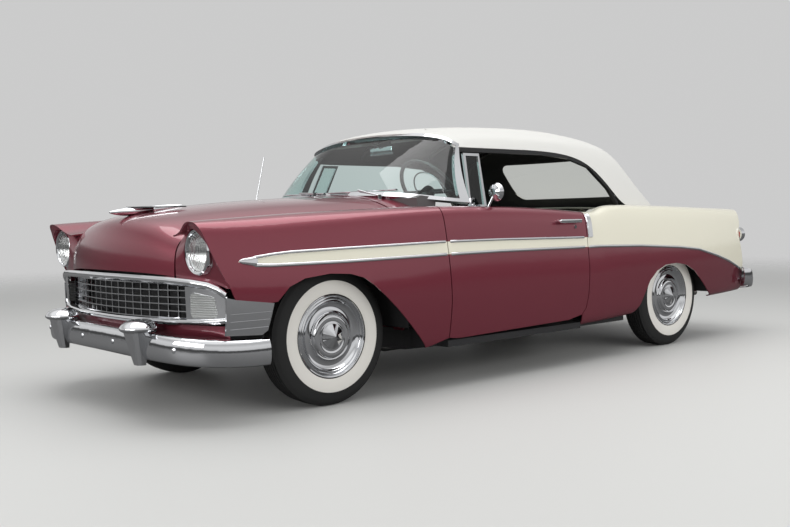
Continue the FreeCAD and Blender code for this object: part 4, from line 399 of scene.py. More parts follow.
# Tyres: bias-ply rubber with a wide white band, a rounded shoulder and a zigzag ribbed tread.
# Each sits on its wheel's rim.
TYRE_PROFILE = ((0.196, 0.060), (0.203, 0.072), (0.210, 0.0765), (0.226, 0.0825), (0.250, 0.0855),
                (0.270, 0.0850), (0.2765, 0.0840), (0.2780, 0.0850), (0.290, 0.0825), (0.305, 0.0775),
                (0.320, 0.0725), (0.331, 0.0665), (0.338, 0.0585))
TYRE_RADIUS = 0.345
SHOULDER_RADIUS = 0.3425
WHITE_RADII = (0.209, 0.277)
TREAD_HALF = 0.0565
GROOVE = 0.0035
GROOVE_DEPTH = 0.007
GROOVE_FLOOR = 0.6
CROWN = 0.006
GROOVE_PLACES = (-0.0455, -0.027, -0.009, 0.009, 0.027, 0.0455)
ZIGZAG = 0.0022
ZIGZAG_RADIUS = SHOULDER_RADIUS - 0.011
ZIGZAG_HALF = TREAD_HALF - 0.001
TYRE_STEPS = 120
WHEEL_PLACES = (("front_left", 1), ("front_right", -1), ("rear_left", 1), ("rear_right", -1))
tread_rubber = finish("tread_rubber", (0.018, 0.018, 0.018), 0.7)
white_rubber = finish("white_rubber", (0.66, 0.64, 0.60), 0.5)


def tyre_profile():
    """(radius, along) from the outer bead over the tread to the inner bead."""
    tread = []
    for place in reversed(GROOVE_PLACES):
        crown = TYRE_RADIUS - CROWN * (abs(place) / TREAD_HALF) ** 2
        tread += [(crown, place + GROOVE), (crown - GROOVE_DEPTH, place + GROOVE * GROOVE_FLOOR),
                  (crown - GROOVE_DEPTH, place - GROOVE * GROOVE_FLOOR), (crown, place - GROOVE)]
    inner = [(r, -w) for r, w in reversed(TYRE_PROFILE)]
    shoulders = ((SHOULDER_RADIUS, TREAD_HALF), (SHOULDER_RADIUS, -TREAD_HALF))
    return [*TYRE_PROFILE, shoulders[0], *tread, shoulders[1], *inner]


def spun(build, profile, centre, axis, side, steps, closed=False):
    """Spins (radius, along) points about an axis through the centre; along runs out to the given side."""
    axis = Vector(axis)
    radial = Vector((0, 0, 1)) if abs(axis.z) < 0.9 else Vector((1, 0, 0))
    radial = (radial - axis * radial.dot(axis)).normalized()
    verts = [build.verts.new(centre + radial * r + axis * side * a) for r, a in profile]
    edges = [build.edges.new(pair) for pair in zip(verts, verts[1:])]
    if closed:
        edges.append(build.edges.new((verts[-1], verts[0])))
    bmesh.ops.spin(build, geom=verts + edges, cent=centre, axis=axis, dvec=(0, 0, 0), angle=2 * math.pi,
                   steps=steps, use_merge=True, use_duplicate=False)
    bmesh.ops.remove_doubles(build, verts=build.verts, dist=1e-6)
    bmesh.ops.recalc_face_normals(build, faces=build.faces)


def wheel_centre(place):
    lowest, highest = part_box("tyre_" + place)
    return (lowest + highest) / 2


def tyre(place, side):
    """A tyre with its tread zigzagged and its white band on the outer side."""
    centre = wheel_centre(place)
    build = bmesh.new()
    spun(build, tyre_profile(), centre, (1, 0, 0), side, TYRE_STEPS, closed=True)
    for vert in build.verts:
        offset = vert.co - centre
        radius = math.hypot(offset.y, offset.z)
        if radius > ZIGZAG_RADIUS and abs(offset.x) < ZIGZAG_HALF:
            step = round(math.atan2(offset.y, offset.z) / (2 * math.pi) * TYRE_STEPS)
            vert.co.x += ZIGZAG if step % 2 else -ZIGZAG
    for face in build.faces:
        offset = face.calc_center_median() - centre
        radius = math.hypot(offset.y, offset.z)
        face.material_index = int(WHITE_RADII[0] < radius < WHITE_RADII[1] and offset.x * side > 0)
    piece = piece_from("tyre_tread_" + place, build, "wheel_" + place, tread_rubber, white_rubber)
    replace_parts(piece, "tyre_" + place)


for place, side in WHEEL_PLACES:
    tyre(place, side)

# Wheel covers: full discs of chromed sheet steel, pressed in rings, with a fluted point in the middle.
# Spring clips in the wheel's rim hold them.
COVER_RINGS = ((0.2075, 0.0705), (0.2060, 0.0755), (0.2030, 0.0770), (0.1985, 0.0745), (0.1955, 0.0690),
               (0.1925, 0.0700), (0.1880, 0.0725), (0.1845, 0.0700), (0.1815, 0.0655), (0.1780, 0.0665),
               (0.1740, 0.0690), (0.1705, 0.0665), (0.1670, 0.0610), (0.1600, 0.0560), (0.1480, 0.0520),
               (0.1330, 0.0530), (0.1240, 0.0570), (0.1200, 0.0630), (0.1165, 0.0650), (0.1120, 0.0640),
               (0.1085, 0.0665), (0.1040, 0.0730), (0.0990, 0.0755), (0.0900, 0.0765), (0.0800, 0.0755),
               (0.0740, 0.0735), (0.0700, 0.0745))
POINT_RADIUS = 0.0625
POINT_BASE = 0.0755
POINT_TIP = 0.1080
POINT_FLUTES = 10
POINT_FLUTE_DEPTH = 0.0045
POINT_SEAT = ((POINT_RADIUS + 0.003, POINT_BASE - 0.001), (POINT_RADIUS, POINT_BASE))
COVER_STEPS = 96
COVER_SHARP = 22
for place, side in WHEEL_PLACES:
    centre = wheel_centre(place)
    build = bmesh.new()
    spun(build, COVER_RINGS + POINT_SEAT, centre, (1, 0, 0), side, COVER_STEPS)
    face_along(build, Vector((side, 0, 0)))
    tip = build.verts.new(centre + Vector((side * POINT_TIP, 0, 0)))
    corners = []
    for i in range(POINT_FLUTES * 2):
        angle = math.pi * i / POINT_FLUTES
        along = POINT_BASE if i % 2 else POINT_BASE + POINT_FLUTE_DEPTH
        offset = Vector((side * along, math.sin(angle) * POINT_RADIUS, math.cos(angle) * POINT_RADIUS))
        corners.append(build.verts.new(centre + offset))
    for first, second in zip(corners, corners[1:] + corners[:1]):
        face = build.faces.new((tip, first, second))
        if (face.calc_center_median() - centre).x * face.normal.x < 0:
            face.normal_flip()
    face_along(build, Vector((side, 0, 0)))
    piece_from("wheel_cover_" + place, build, "wheel_" + place, chrome, sharp_degrees=COVER_SHARP)


# Grille frame: chromed die-cast bars above and below the grille, with plates behind the parking lamps.
# They bow with the grille in plan, and the upper bar's ends turn down. The real ones are bolted to carriers.
TOP_BAR_PLAN = ((0, -2.382), (0.187, -2.378), (0.375, -2.362), (0.562, -2.331), (0.712, -2.296),
                (0.815, -2.262), (0.871, -2.236), (0.895, -2.214))
TOP_BAR_DROP = ((0, 0), (0.187, 0), (0.375, 0.002), (0.562, 0.006), (0.712, 0.014), (0.815, 0.026),
                (0.871, 0.047), (0.895, 0.073))
TOP_BAR_LOW = 0.6435
TOP_BAR_HEIGHT = 0.037
TOP_BAR_SECTION = ((0.027, 0.02), (0.004, 0.0), (-0.006, 0.26), (-0.006, 0.64), (0.002, 0.93), (0.027, 1.0))
LOW_BAR_PLAN = ((0, -2.381), (0.187, -2.376), (0.375, -2.360), (0.562, -2.328), (0.712, -2.290),
                (0.806, -2.258), (0.862, -2.235), (0.890, -2.217))
LOW_BAR_DROP = ((0, 0), (0.375, 0), (0.562, -0.002), (0.712, -0.008), (0.806, -0.012), (0.862, -0.016),
                (0.890, -0.020))
LOW_BAR_LOW = 0.448
LOW_BAR_HEIGHT = 0.028
LOW_BAR_SECTION = ((0.027, 0.0), (0.002, 0.07), (-0.006, 0.57), (0.0, 0.93), (0.024, 1.0))
BAR_WALL = 0.004
PLATE_START_X = 0.668
PLATE_SET_BACK = 0.012
PLATE_LAP = 0.010
BAR_GRID = (120, 15)
PLATE_GRID = (24, 8)
SLOPE_STEP = 0.02
BAR_END_GAP = 0.0005
PLATE_END_GAP = 0.001


def straight_height(line, value):
    """The height of a line of (place, height) points at a place, by straight steps."""
    for (low, start), (high, end) in zip(line, line[1:]):
        if value <= high:
            return start + (end - start) * (value - low) / (high - low)
    return line[-1][1]


def bowed_bar(build, plan, drops, section, low, height):
    """A bar that follows a plan line across the car, with its section given as (inward, share of height)."""
    reach = plan[-1][0] - BAR_END_GAP
    grid = bmesh.ops.create_grid(build, x_segments=BAR_GRID[0], y_segments=BAR_GRID[1], size=0.5)
    for vert in grid["verts"]:
        x = vert.co.x * 2 * reach
        y = straight_height(plan, abs(x))
        outer = straight_height(plan, min(abs(x) + SLOPE_STEP, reach))
        inner = straight_height(plan, max(abs(x) - SLOPE_STEP, 0))
        slope = (outer - inner) / (2 * SLOPE_STEP)
        out = Vector((slope * math.copysign(1, x), -1, 0)).normalized()
        step = (vert.co.y + 0.5) * (len(section) - 1)
        inward = straight_height(tuple((i, s[0]) for i, s in enumerate(section)), step)
        rise = straight_height(tuple((i, s[1]) for i, s in enumerate(section)), step)
        z = low + height * rise - straight_height(drops, abs(x))
        vert.co = Vector((x, y, z)) - out * inward


build = bmesh.new()
bowed_bar(build, TOP_BAR_PLAN, TOP_BAR_DROP, TOP_BAR_SECTION, TOP_BAR_LOW, TOP_BAR_HEIGHT)
bowed_bar(build, LOW_BAR_PLAN, LOW_BAR_DROP, LOW_BAR_SECTION, LOW_BAR_LOW, LOW_BAR_HEIGHT)
for side in (1, -1):
    grid = bmesh.ops.create_grid(build, x_segments=PLATE_GRID[0], y_segments=PLATE_GRID[1], size=0.5)
    for vert in grid["verts"]:
        x = PLATE_START_X + (LOW_BAR_PLAN[-1][0] - PLATE_END_GAP - PLATE_START_X) * (vert.co.x + 0.5)
        low = Vector((x, straight_height(LOW_BAR_PLAN, x) + PLATE_SET_BACK,
                      LOW_BAR_LOW + LOW_BAR_HEIGHT - PLATE_LAP - straight_height(LOW_BAR_DROP, x)))
        high = Vector((x, straight_height(TOP_BAR_PLAN, x) + PLATE_SET_BACK,
                       TOP_BAR_LOW + PLATE_LAP - straight_height(TOP_BAR_DROP, x)))
        vert.co = low.lerp(high, vert.co.y + 0.5)
        vert.co.x *= side
face_along(build, Vector((0, -1, 0)))
bmesh.ops.solidify(build, geom=build.faces[:], thickness=BAR_WALL)
piece_from("grille_frame", build, "car_body", chrome)


# Headlamps: sealed glass lenses with upright flutes, each in front of a silvered bowl.
# The chrome rims hold them to the fenders.
LENS_RADIUS = 0.0885
LENS_RISE = 0.022
BOWL_DEPTH = 0.040
LENS_FLUTES = 22.0
LENS_STEPS = 48
LENS_PROFILE = ((0.0, 1.0), (0.30, 0.92), (0.55, 0.74), (0.78, 0.42), (0.92, 0.16), (1.0, 0.0),
                (1.0, -0.12))
BOWL_PROFILE = ((0.99, -0.1), (0.90, -0.28), (0.72, -0.58), (0.50, -0.82), (0.25, -0.96), (0.0, -1.0))


def ribbed_group():
    """Fine parallel ridges as a normal. Axis is the direction across them."""
    tree = bpy.data.node_groups.new("ribbed", "ShaderNodeTree")
    for name, kind in (("Axis", "Vector"), ("Scale", "Float"), ("Height", "Float")):
        tree.interface.new_socket(name=name, in_out="INPUT", socket_type="NodeSocket" + kind)
    tree.interface.new_socket(name="Normal", in_out="OUTPUT", socket_type="NodeSocketVector")
    given = tree.nodes.new("NodeGroupInput")
    output = tree.nodes.new("NodeGroupOutput")
    place = tree.nodes.new("ShaderNodeTexCoord")
    across = tree.nodes.new("ShaderNodeVectorMath")
    across.operation = "DOT_PRODUCT"
    point = tree.nodes.new("ShaderNodeCombineXYZ")
    wave = tree.nodes.new("ShaderNodeTexWave")
    bump = tree.nodes.new("ShaderNodeBump")
    bump.inputs["Strength"].default_value = 1.0
    tree.links.new(place.outputs["Object"], across.inputs[0])
    tree.links.new(given.outputs["Axis"], across.inputs[1])
    tree.links.new(across.outputs["Value"], point.inputs["X"])
    tree.links.new(point.outputs["Vector"], wave.inputs["Vector"])
    tree.links.new(given.outputs["Scale"], wave.inputs["Scale"])
    tree.links.new(wave.outputs["Color"], bump.inputs["Height"])
    tree.links.new(given.outputs["Height"], bump.inputs["Distance"])
    tree.links.new(bump.outputs["Normal"], output.inputs["Normal"])
    return tree


def raised(material, group, **values):
    """Places a group in a material with its values, and lets its normal shape the surface."""
    tree = material.node_tree
    shape = tree.nodes.new("ShaderNodeGroup")
    shape.node_tree = group
    for name, value in values.items():
        shape.inputs[name].default_value = value
    for node in tree.nodes:
        if node.type in ("BSDF_PRINCIPLED", "BSDF_GLOSSY", "FRESNEL"):
            tree.links.new(shape.outputs["Normal"], node.inputs["Normal"])


lamp_glass = glass("lamp_glass", (0.97, 0.98, 0.98), 1.6)
lamp_silver = finish("lamp_silver", (0.88, 0.88, 0.87), 0.18, metallic=1.0)
ribbed = ribbed_group()
raised(lamp_glass, ribbed, Axis=(1, 0, 0), Scale=LENS_FLUTES, Height=0.003)
raised(lamp_silver, ribbed, Axis=(1, 0, 0), Scale=LENS_FLUTES, Height=0.004)
lamp_low, lamp_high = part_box("headlamp_lenses")
lens_build = bmesh.new()
bowl_build = bmesh.new()
for side in (1, -1):
    centre = Vector((side * (lamp_high.x - LENS_RADIUS), lamp_low.y + LENS_RISE,
                     (lamp_low.z + lamp_high.z) / 2))
    for build, rise, profile in ((lens_build, LENS_RISE, LENS_PROFILE),
                                 (bowl_build, BOWL_DEPTH, BOWL_PROFILE)):
        spun(build, [(LENS_RADIUS * r, -rise * a) for r, a in profile], centre, (0, 1, 0), 1, LENS_STEPS)
face_along(lens_build, Vector((0, -1, 0)))
face_along(bowl_build, Vector((0, -1, 0)))
lens_piece = piece_from("headlamp_fluted_lenses", lens_build, "car_body", lamp_glass)
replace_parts(lens_piece, "headlamp_lenses")
piece_from("headlamp_bowls", bowl_build, "car_body", lamp_silver)

# Parking lamps: moulded clear lenses with level ribs at the grille's ends, over bright reflectors.
# One greyish, half metallic finish stands for a lens and its reflector together.
parking_lens = finish("parking_lens", (0.42, 0.43, 0.42), 0.14, metallic=0.5, coat=1.0)
raised(parking_lens, ribbed, Axis=(0, 0, 1), Scale=30.0, Height=0.004)
dress(parking_lens, "parking_lamps")

# Tail lamps: lenses moulded of red plastic with level ribs, at the rear ends of the quarter panels.
# Their chrome rims hold them.
red_lens = finish("red_lens", (0.40, 0.008, 0.010), 0.12, coat=1.0)
raised(red_lens, ribbed, Axis=(0, 0, 1), Scale=26.0, Height=0.003)
dress(red_lens, "tail_lamp_lenses")

# Door handles: chromed die-cast pull bars on two feet, bolted through the door's skin.
# Each has a push button at the bar's rear end, and a key lock below.
HANDLE_SPAN = (0.035, 0.232)
HANDLE_Z = 0.881
HANDLE_STAND = 0.034
HANDLE_HALF = (0.006, 0.011)
HANDLE_FOOT = (HANDLE_STAND * 0.55, 0.014, 0.009)
FRONT_FOOT = 0.06
REAR_FOOT = 0.10
FOOT_REACH = 0.45
ROOT_REACH = 0.1
BUTTON_SHARE = 0.02
BUTTON_RADIUS = 0.012
BUTTON_REACH = 0.6
LOCK_PLACE = (0.205, 0.845)
LOCK_RADIUS = 0.011
LOCK_REACH = 0.12
BLOCK_ROUNDING = 0.55


def rounded_block(build, centre, half, turn=None):
    """A block with rounded edges, which may be turned about its centre."""
    made = bmesh.ops.create_cube(build, size=2.0)["verts"]
    bmesh.ops.scale(build, vec=half, verts=made)
    edges = list({e for v in made for e in v.link_edges})
    result = bmesh.ops.bevel(build, geom=edges, offset=min(half) * BLOCK_ROUNDING, affect="EDGES", segments=3,
                             profile=0.5, material=-1)
    verts = list({v for f in result["faces"] for v in f.verts})
    if turn is not None:
        bmesh.ops.rotate(build, cent=(0, 0, 0), matrix=turn, verts=verts)
    bmesh.ops.translate(build, vec=centre, verts=verts)


def short_rod(build, start, end, radius, segments=16):
    """A capped straight rod between two points."""
    start = Vector(start)
    end = Vector(end)
    turn = (end - start).to_track_quat("Z", "Y").to_matrix().to_4x4()
    place = Matrix.Translation((start + end) / 2) @ turn
    bmesh.ops.create_cone(build, cap_ends=True, cap_tris=False, segments=segments, radius1=radius,
                          radius2=radius, depth=(end - start).length, matrix=place)


for side, word in SIDES:
    door = surface_of("door_" + word)
    build = bmesh.new()
    front = from_side(door, side, HANDLE_SPAN[0], HANDLE_Z)
    rear = from_side(door, side, HANDLE_SPAN[1], HANDLE_Z)
    out = Vector((side * HANDLE_STAND, 0, 0))
    along = rear - front
    lean = along.normalized().to_track_quat("Y", "Z").to_matrix()
    rounded_block(build, (front + rear) / 2 + out, (HANDLE_HALF[0], along.length / 2, HANDLE_HALF[1]), lean)
    for foot in (front + along * FRONT_FOOT, rear - along * REAR_FOOT):
        rounded_block(build, foot + out * FOOT_REACH, HANDLE_FOOT)
    button = rear - along * BUTTON_SHARE
    short_rod(build, button - out * ROOT_REACH, button + out * BUTTON_REACH, BUTTON_RADIUS)
    lock = from_side(door, side, *LOCK_PLACE)
    short_rod(build, lock - out * ROOT_REACH, lock + out * LOCK_REACH, LOCK_RADIUS, 24)
    piece_from("door_handle_" + word, build, "door_" + word, chrome)

# Wipers: chromed steel arms on pivots in the cowl, with rubber blades, parked low on the windshield.
# Each is given as its pivot (x, y), the place where the arm holds the blade (x, z), and its ends (x, z).
WIPERS = (
    ((0.47, -0.96), (0.28, 1.085), (0.55, 1.078), (0.02, 1.075)),
    ((-0.10, -0.99), (-0.30, 1.085), (-0.03, 1.075), (-0.56, 1.078)),
)
PIVOT_RADIUS = 0.012
ARM_RADIUS = 0.0045
SPINE_RADIUS = 0.0035
BLADE_HALF = 0.004
BLADE_STAND = 0.014
BLADE_STEPS = 14
COWL_FROM_Z = 1.6
COWL_HEIGHT = 1.05
AHEAD_Y = -3.0


def from_front(tree, x, z):
    """The frontmost surface point at (x, z)."""
    return tree.ray_cast(Vector((x, AHEAD_Y, z)), Vector((0, 1, 0)))[0]


screen_surface = surface_of("windshield_glass", "windshield_frame")
cowl_surface = surface_of("cowl_panel", "hood")
wiper_rubber = finish("wiper_rubber", (0.012, 0.012, 0.012), 0.6)
arm_build = bmesh.new()
blade_build = bmesh.new()
for (pivot_x, pivot_y), (hold_x, hold_z), (start_x, start_z), (end_x, end_z) in WIPERS:
    pivot = cowl_surface.ray_cast(Vector((pivot_x, pivot_y, COWL_FROM_Z)), Vector((0, 0, -1)))[0]
    pivot = pivot if pivot is not None else Vector((pivot_x, pivot_y, COWL_HEIGHT))
    hold = from_front(screen_surface, hold_x, hold_z) - Vector((0, BLADE_STAND * 2, 0))
    short_rod(arm_build, pivot - Vector((0, 0, 0.02)), pivot + Vector((0, 0, 0.022)), PIVOT_RADIUS)
    short_rod(arm_build, pivot + Vector((0, 0, 0.016)), hold, ARM_RADIUS, 10)
    previous = None
    for i in range(BLADE_STEPS + 1):
        x = start_x + (end_x - start_x) * i / BLADE_STEPS
        z = start_z + (end_z - start_z) * i / BLADE_STEPS
        place = from_front(screen_surface, x, z) - Vector((0, BLADE_STAND, 0))
        if previous is not None:
            short_rod(arm_build, previous, place, SPINE_RADIUS, 8)
            short_rod(blade_build, previous + Vector((0, BLADE_STAND * 0.7, 0)),
                      place + Vector((0, BLADE_STAND * 0.7, 0)), BLADE_HALF, 8)
        previous = place
piece_from("wiper_arms", arm_build, "car_body", chrome)
piece_from("wiper_blades", blade_build, "car_body", wiper_rubber)

# Door mirror face: a round of silvered glass on the rear of the mirror's chrome head.
# The real glass is pressed into the head's rolled edge.
MIRROR_FACE_RADIUS = 0.046
MIRROR_FACE_X = 0.876095
MIRROR_FACE_DROP = 0.052
MIRROR_FACE_GAP = 0.0004
mirror_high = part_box("door_mirror")[1]
silver = finish("silver", (0.90, 0.91, 0.92), 0.02, metallic=1.0)
build = bmesh.new()
face_centre = Vector((MIRROR_FACE_X, mirror_high.y + MIRROR_FACE_GAP, mirror_high.z - MIRROR_FACE_DROP))
bmesh.ops.create_circle(build, cap_ends=True, segments=48, radius=MIRROR_FACE_RADIUS,
                        matrix=Matrix.Translation(face_centre) @ Matrix.Rotation(math.pi / 2, 4, "X"))
face_along(build, Vector((0, 1, 0)))
piece_from("mirror_face", build, "door_left", silver)

# Bumper bolts: carriage bolts with round chromed heads, through the faces of both bumpers.
# They hold the bars to the brackets of the frame.
BOLT_RADIUS = 0.013
BOLT_FLATNESS = 0.45
BOLT_X = (0.18, 0.72)
BOLT_Z = {"front_bumper": 0.352, "rear_bumper": 0.385}
build = bmesh.new()
for node_name, direction in (("front_bumper", 1), ("rear_bumper", -1)):
    bumper = surface_of(node_name)
    for x in BOLT_X:
        for side in (1, -1):
            start = Vector((side * x, AHEAD_Y * direction, BOLT_Z[node_name]))
            hit = bumper.ray_cast(start, Vector((0, direction, 0)))
            if hit[0] is None:
                continue
            turn = hit[1].to_track_quat("Z", "Y").to_matrix().to_4x4()
            flat = Matrix.Diagonal((1, 1, BOLT_FLATNESS, 1))
            bmesh.ops.create_uvsphere(build, u_segments=16, v_segments=10, radius=BOLT_RADIUS,
                                      matrix=Matrix.Translation(hit[0]) @ turn @ flat)
piece_from("bumper_bolts", build, "car_body", chrome)


# Seats: benches of foam over springs in pale hide, with pleated cloth middles and rolled edges.
# The front backrest is split. The benches stand on the floor, the front one on two box frames.
# Each cushion is given as its size, crown, edge radius, tilt and centre.
HIDE = (0.34, 0.345, 0.32)
PLEAT = 0.050
PLEAT_DEPTH = 0.006
BOLSTER = 0.11
CUSHION_STEP = 0.012
CUSHION_CUTS = (22, 8)
CUSHION_WAIST = 0.012
CLOTH_HEIGHT = 0.55
FRONT_SEAT = ((1.28, 0.52, 0.14), 0.018, 0.045, -0.06, Vector((0, -0.062, 0.533)))
FRONT_BACK = ((0.62, 0.47, 0.09), 0.016, 0.040, math.radians(96))
FRONT_BACK_PLACE = (0.322, 0.276, 0.725)
REAR_SEAT = ((1.14, 0.28, 0.12), 0.016, 0.045, -0.08, Vector((0, 0.733, 0.572)))
REAR_BACK = ((1.14, 0.31, 0.075), 0.014, 0.036, math.radians(104), Vector((0, 0.941, 0.775)))
SEAT_FRAME_X = 0.36
SEAT_FRAME_PLACE = (-0.06, 0.395)
SEAT_FRAME_HALF = (0.22, 0.20, 0.075)
seat_hide = finish("seat_hide", HIDE, 0.48)
seat_cloth = finish("seat_cloth", (0.13, 0.135, 0.135), 0.85)


def cushion(name, size, crown, radius, tilt, centre):
    """A crowned cushion with pleats across its middle. Tilt turns it back about X."""
    build = bmesh.new()
    bmesh.ops.create_cube(build, size=2.0)
    for axis, cuts in enumerate((round(size[0] / CUSHION_STEP), *CUSHION_CUTS)):
        edges = [e for e in build.edges if abs((e.verts[0].co - e.verts[1].co)[axis]) > 1e-4]
        bmesh.ops.subdivide_edges(build, edges=edges, cuts=cuts, use_grid_fill=True)
    half = Vector(size) / 2
    for vert in build.verts:
        share = vert.co.copy()
        place = Vector(share[i] * half[i] for i in range(3))
        core = Vector(max(-(half[i] - radius), min(half[i] - radius, place[i])) for i in range(3))
        away = place - core
        if away.length > 1e-9:
            place = core + away.normalized() * radius
        rise = max(0.0, 1 - share.x ** 4) * max(0.0, 1 - share.y ** 4)
        if share.z > 0.2:
            place.z += crown * rise
            if abs(place.x) < half.x - BOLSTER:
                groove = abs(math.sin(math.pi * place.x / PLEAT)) ** 0.5
                place.z -= PLEAT_DEPTH * (1 - groove) * rise
        place.x *= 1 - CUSHION_WAIST * (1 - share.y ** 2)
        vert.co = place
    for face in build.faces:
        middle = face.calc_center_median()
        face.material_index = int(middle.z > half.z * CLOTH_HEIGHT and abs(middle.x) < half.x - BOLSTER
                                  and abs(middle.y) < half.y - radius * 0.8)
    bmesh.ops.recalc_face_normals(build, faces=build.faces)
    bmesh.ops.rotate(build, cent=(0, 0, 0), matrix=Matrix.Rotation(tilt, 3, "X"), verts=build.verts)
    bmesh.ops.translate(build, vec=centre, verts=build.verts)
    piece = piece_from(name, build, "car_body", seat_hide, seat_cloth, sharp_degrees=60)
    return piece


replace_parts(cushion("front_seat_cushion", *FRONT_SEAT), "front_seat")
for side, word in SIDES:
    cushion("front_seat_back_" + word, *FRONT_BACK,
            Vector((side * FRONT_BACK_PLACE[0], FRONT_BACK_PLACE[1], FRONT_BACK_PLACE[2])))
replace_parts(cushion("rear_seat_cushion", *REAR_SEAT), "rear_seat")
cushion("rear_seat_back", *REAR_BACK)
build = bmesh.new()
for side in (1, -1):
    rounded_block(build, Vector((side * SEAT_FRAME_X, *SEAT_FRAME_PLACE)), SEAT_FRAME_HALF)
piece_from("seat_frames", build, "car_body", under_black)

# Dashboard: pressed steel painted dark, with a bright strip, two large plain dials and a small one.
# A blank radio face with four knobs is set in its middle. The strip and the dials' rims are chromed.
DIALS = ((0.27, 0.965, 0.050), (0.47, 0.965, 0.050), (0.37, 0.945, 0.028))
DIAL_RIM = ((0.007, -0.004), (0.006, 0.006), (0.002, 0.009), (0, 0.004), (0, -0.003))
DIAL_STEPS = 40
DIAL_STAND = 0.003
DIAL_MARKS = 12
MARK_HALF = (0.0012, 0.0008)
MARK_PLACE = 0.82
MARK_LENGTH = 0.09
NEEDLE_TURN = -0.7
NEEDLE_LENGTH = 0.38
RADIO_Z = 0.955
RADIO_HALF = (0.085, 0.006, 0.026)
KNOB_X = (-0.10, 0.10, -0.17, 0.17)
KNOB_RADIUS = 0.010
KNOB_LENGTH = 0.020
DASH_STRIP_Z = 1.005
DASH_STRIP_STARTS = (-0.66, -0.44, -0.22, 0.0, 0.22, 0.44)
DASH_STRIP_STEP = 0.22
DASH_STRIP_RADIUS = 0.004
DASH_FACE_Y = -0.79
dash_paint = finish("dash_paint", (0.10, 0.098, 0.098), 0.3, coat=0.7)
dial_black = finish("dial_black", (0.012, 0.012, 0.013), 0.25, coat=1.0)
dial_white = finish("dial_white", (0.75, 0.75, 0.72), 0.5)
dress(dash_paint, "dashboard")
dash_surface = surface_of("dashboard")


def from_behind(tree, x, z):
    """The surface point at (x, z) as seen from the seats."""
    hit = tree.ray_cast(Vector((x, 0.0, z)), Vector((0, -1, 0)))
    return hit[0] if hit[0] is not None else Vector((x, DASH_FACE_Y, z))


ring_build = bmesh.new()
face_build = bmesh.new()
mark_build = bmesh.new()
for x, z, radius in DIALS:
    place = from_behind(dash_surface, x, z) + Vector((0, DIAL_STAND, 0))
    spun(ring_build, [(radius + wide, along) for wide, along in DIAL_RIM], place, (0, 1, 0), 1, DIAL_STEPS,
         closed=True)
    bmesh.ops.create_circle(face_build, cap_ends=True, segments=DIAL_STEPS, radius=radius,
                            matrix=Matrix.Translation(place) @ Matrix.Rotation(-math.pi / 2, 4, "X"))
    for i in range(DIAL_MARKS):
        angle = 2 * math.pi * i / DIAL_MARKS
        away = Vector((math.sin(angle), 0, math.cos(angle))) * radius * MARK_PLACE
        spot = place + away + Vector((0, 0.0012, 0))
        rounded_block(mark_build, spot, (*MARK_HALF, radius * MARK_LENGTH), Matrix.Rotation(angle, 3, "Y"))
    rounded_block(mark_build, place + Vector((-radius * 0.2, 0.0022, radius * 0.25)),
                  (*MARK_HALF, radius * NEEDLE_LENGTH), Matrix.Rotation(NEEDLE_TURN, 3, "Y"))
radio = from_behind(dash_surface, 0.0, RADIO_Z)
rounded_block(face_build, radio + Vector((0, DIAL_STAND, 0)), RADIO_HALF)
for x in KNOB_X:
    knob = from_behind(dash_surface, x, RADIO_Z)
    short_rod(ring_build, knob, knob + Vector((0, KNOB_LENGTH, 0)), KNOB_RADIUS, 20)
for x in DASH_STRIP_STARTS:
    left = from_behind(dash_surface, x, DASH_STRIP_Z)
    right = from_behind(dash_surface, x + DASH_STRIP_STEP, DASH_STRIP_Z)
    short_rod(ring_build, left + Vector((0, 0.002, 0)), right + Vector((0, 0.002, 0)), DASH_STRIP_RADIUS, 8)
piece_from("dial_rings", ring_build, "car_body", chrome)
piece_from("dial_faces", face_build, "car_body", dial_black)
piece_from("dial_marks", mark_build, "car_body", dial_white)

# Steering wheel: a thin black moulded rim, with a bright half horn ring and a plain bright hub cap.
# The ring and the cap are stampings that snap on over the hub.
COLUMN_FOOT = Vector((0.3701, -0.7785, 0.8824))
WHEEL_CENTRE = Vector((0.3701, -0.4879, 1.0774))
HORN_RADIUS = 0.125
HORN_BAR = 0.0045
HORN_STAND = 0.012
HORN_STEPS = 24
HUB_CAP = ((0.038, -0.004), (0.037, 0.006), (0.030, 0.014), (0.016, 0.019), (0.0, 0.020))
rim_plastic = finish("rim_plastic", (0.012, 0.012, 0.012), 0.2, coat=1.0)
dress(rim_plastic, "steering_wheel")
wheel_axis = (WHEEL_CENTRE - COLUMN_FOOT).normalized()
wheel_side = Vector((1, 0, 0))
wheel_up = wheel_axis.cross(wheel_side)
build = bmesh.new()
previous = None
for i in range(HORN_STEPS + 1):
    angle = math.pi * (1 + i / HORN_STEPS)
    spot = (WHEEL_CENTRE + wheel_axis * HORN_STAND + wheel_side * math.cos(angle) * HORN_RADIUS
            + wheel_up * math.sin(angle) * HORN_RADIUS)
    if previous is not None:
        short_rod(build, previous, spot, HORN_BAR, 10)
    previous = spot
for side in (1, -1):
    tip = WHEEL_CENTRE + wheel_side * side * HORN_RADIUS + wheel_axis * HORN_STAND
    short_rod(build, WHEEL_CENTRE + wheel_axis * HORN_STAND, tip, HORN_BAR, 10)
spun(build, HUB_CAP, WHEEL_CENTRE, wheel_axis, 1, 32)
piece_from("horn_ring", build, "car_body", chrome)

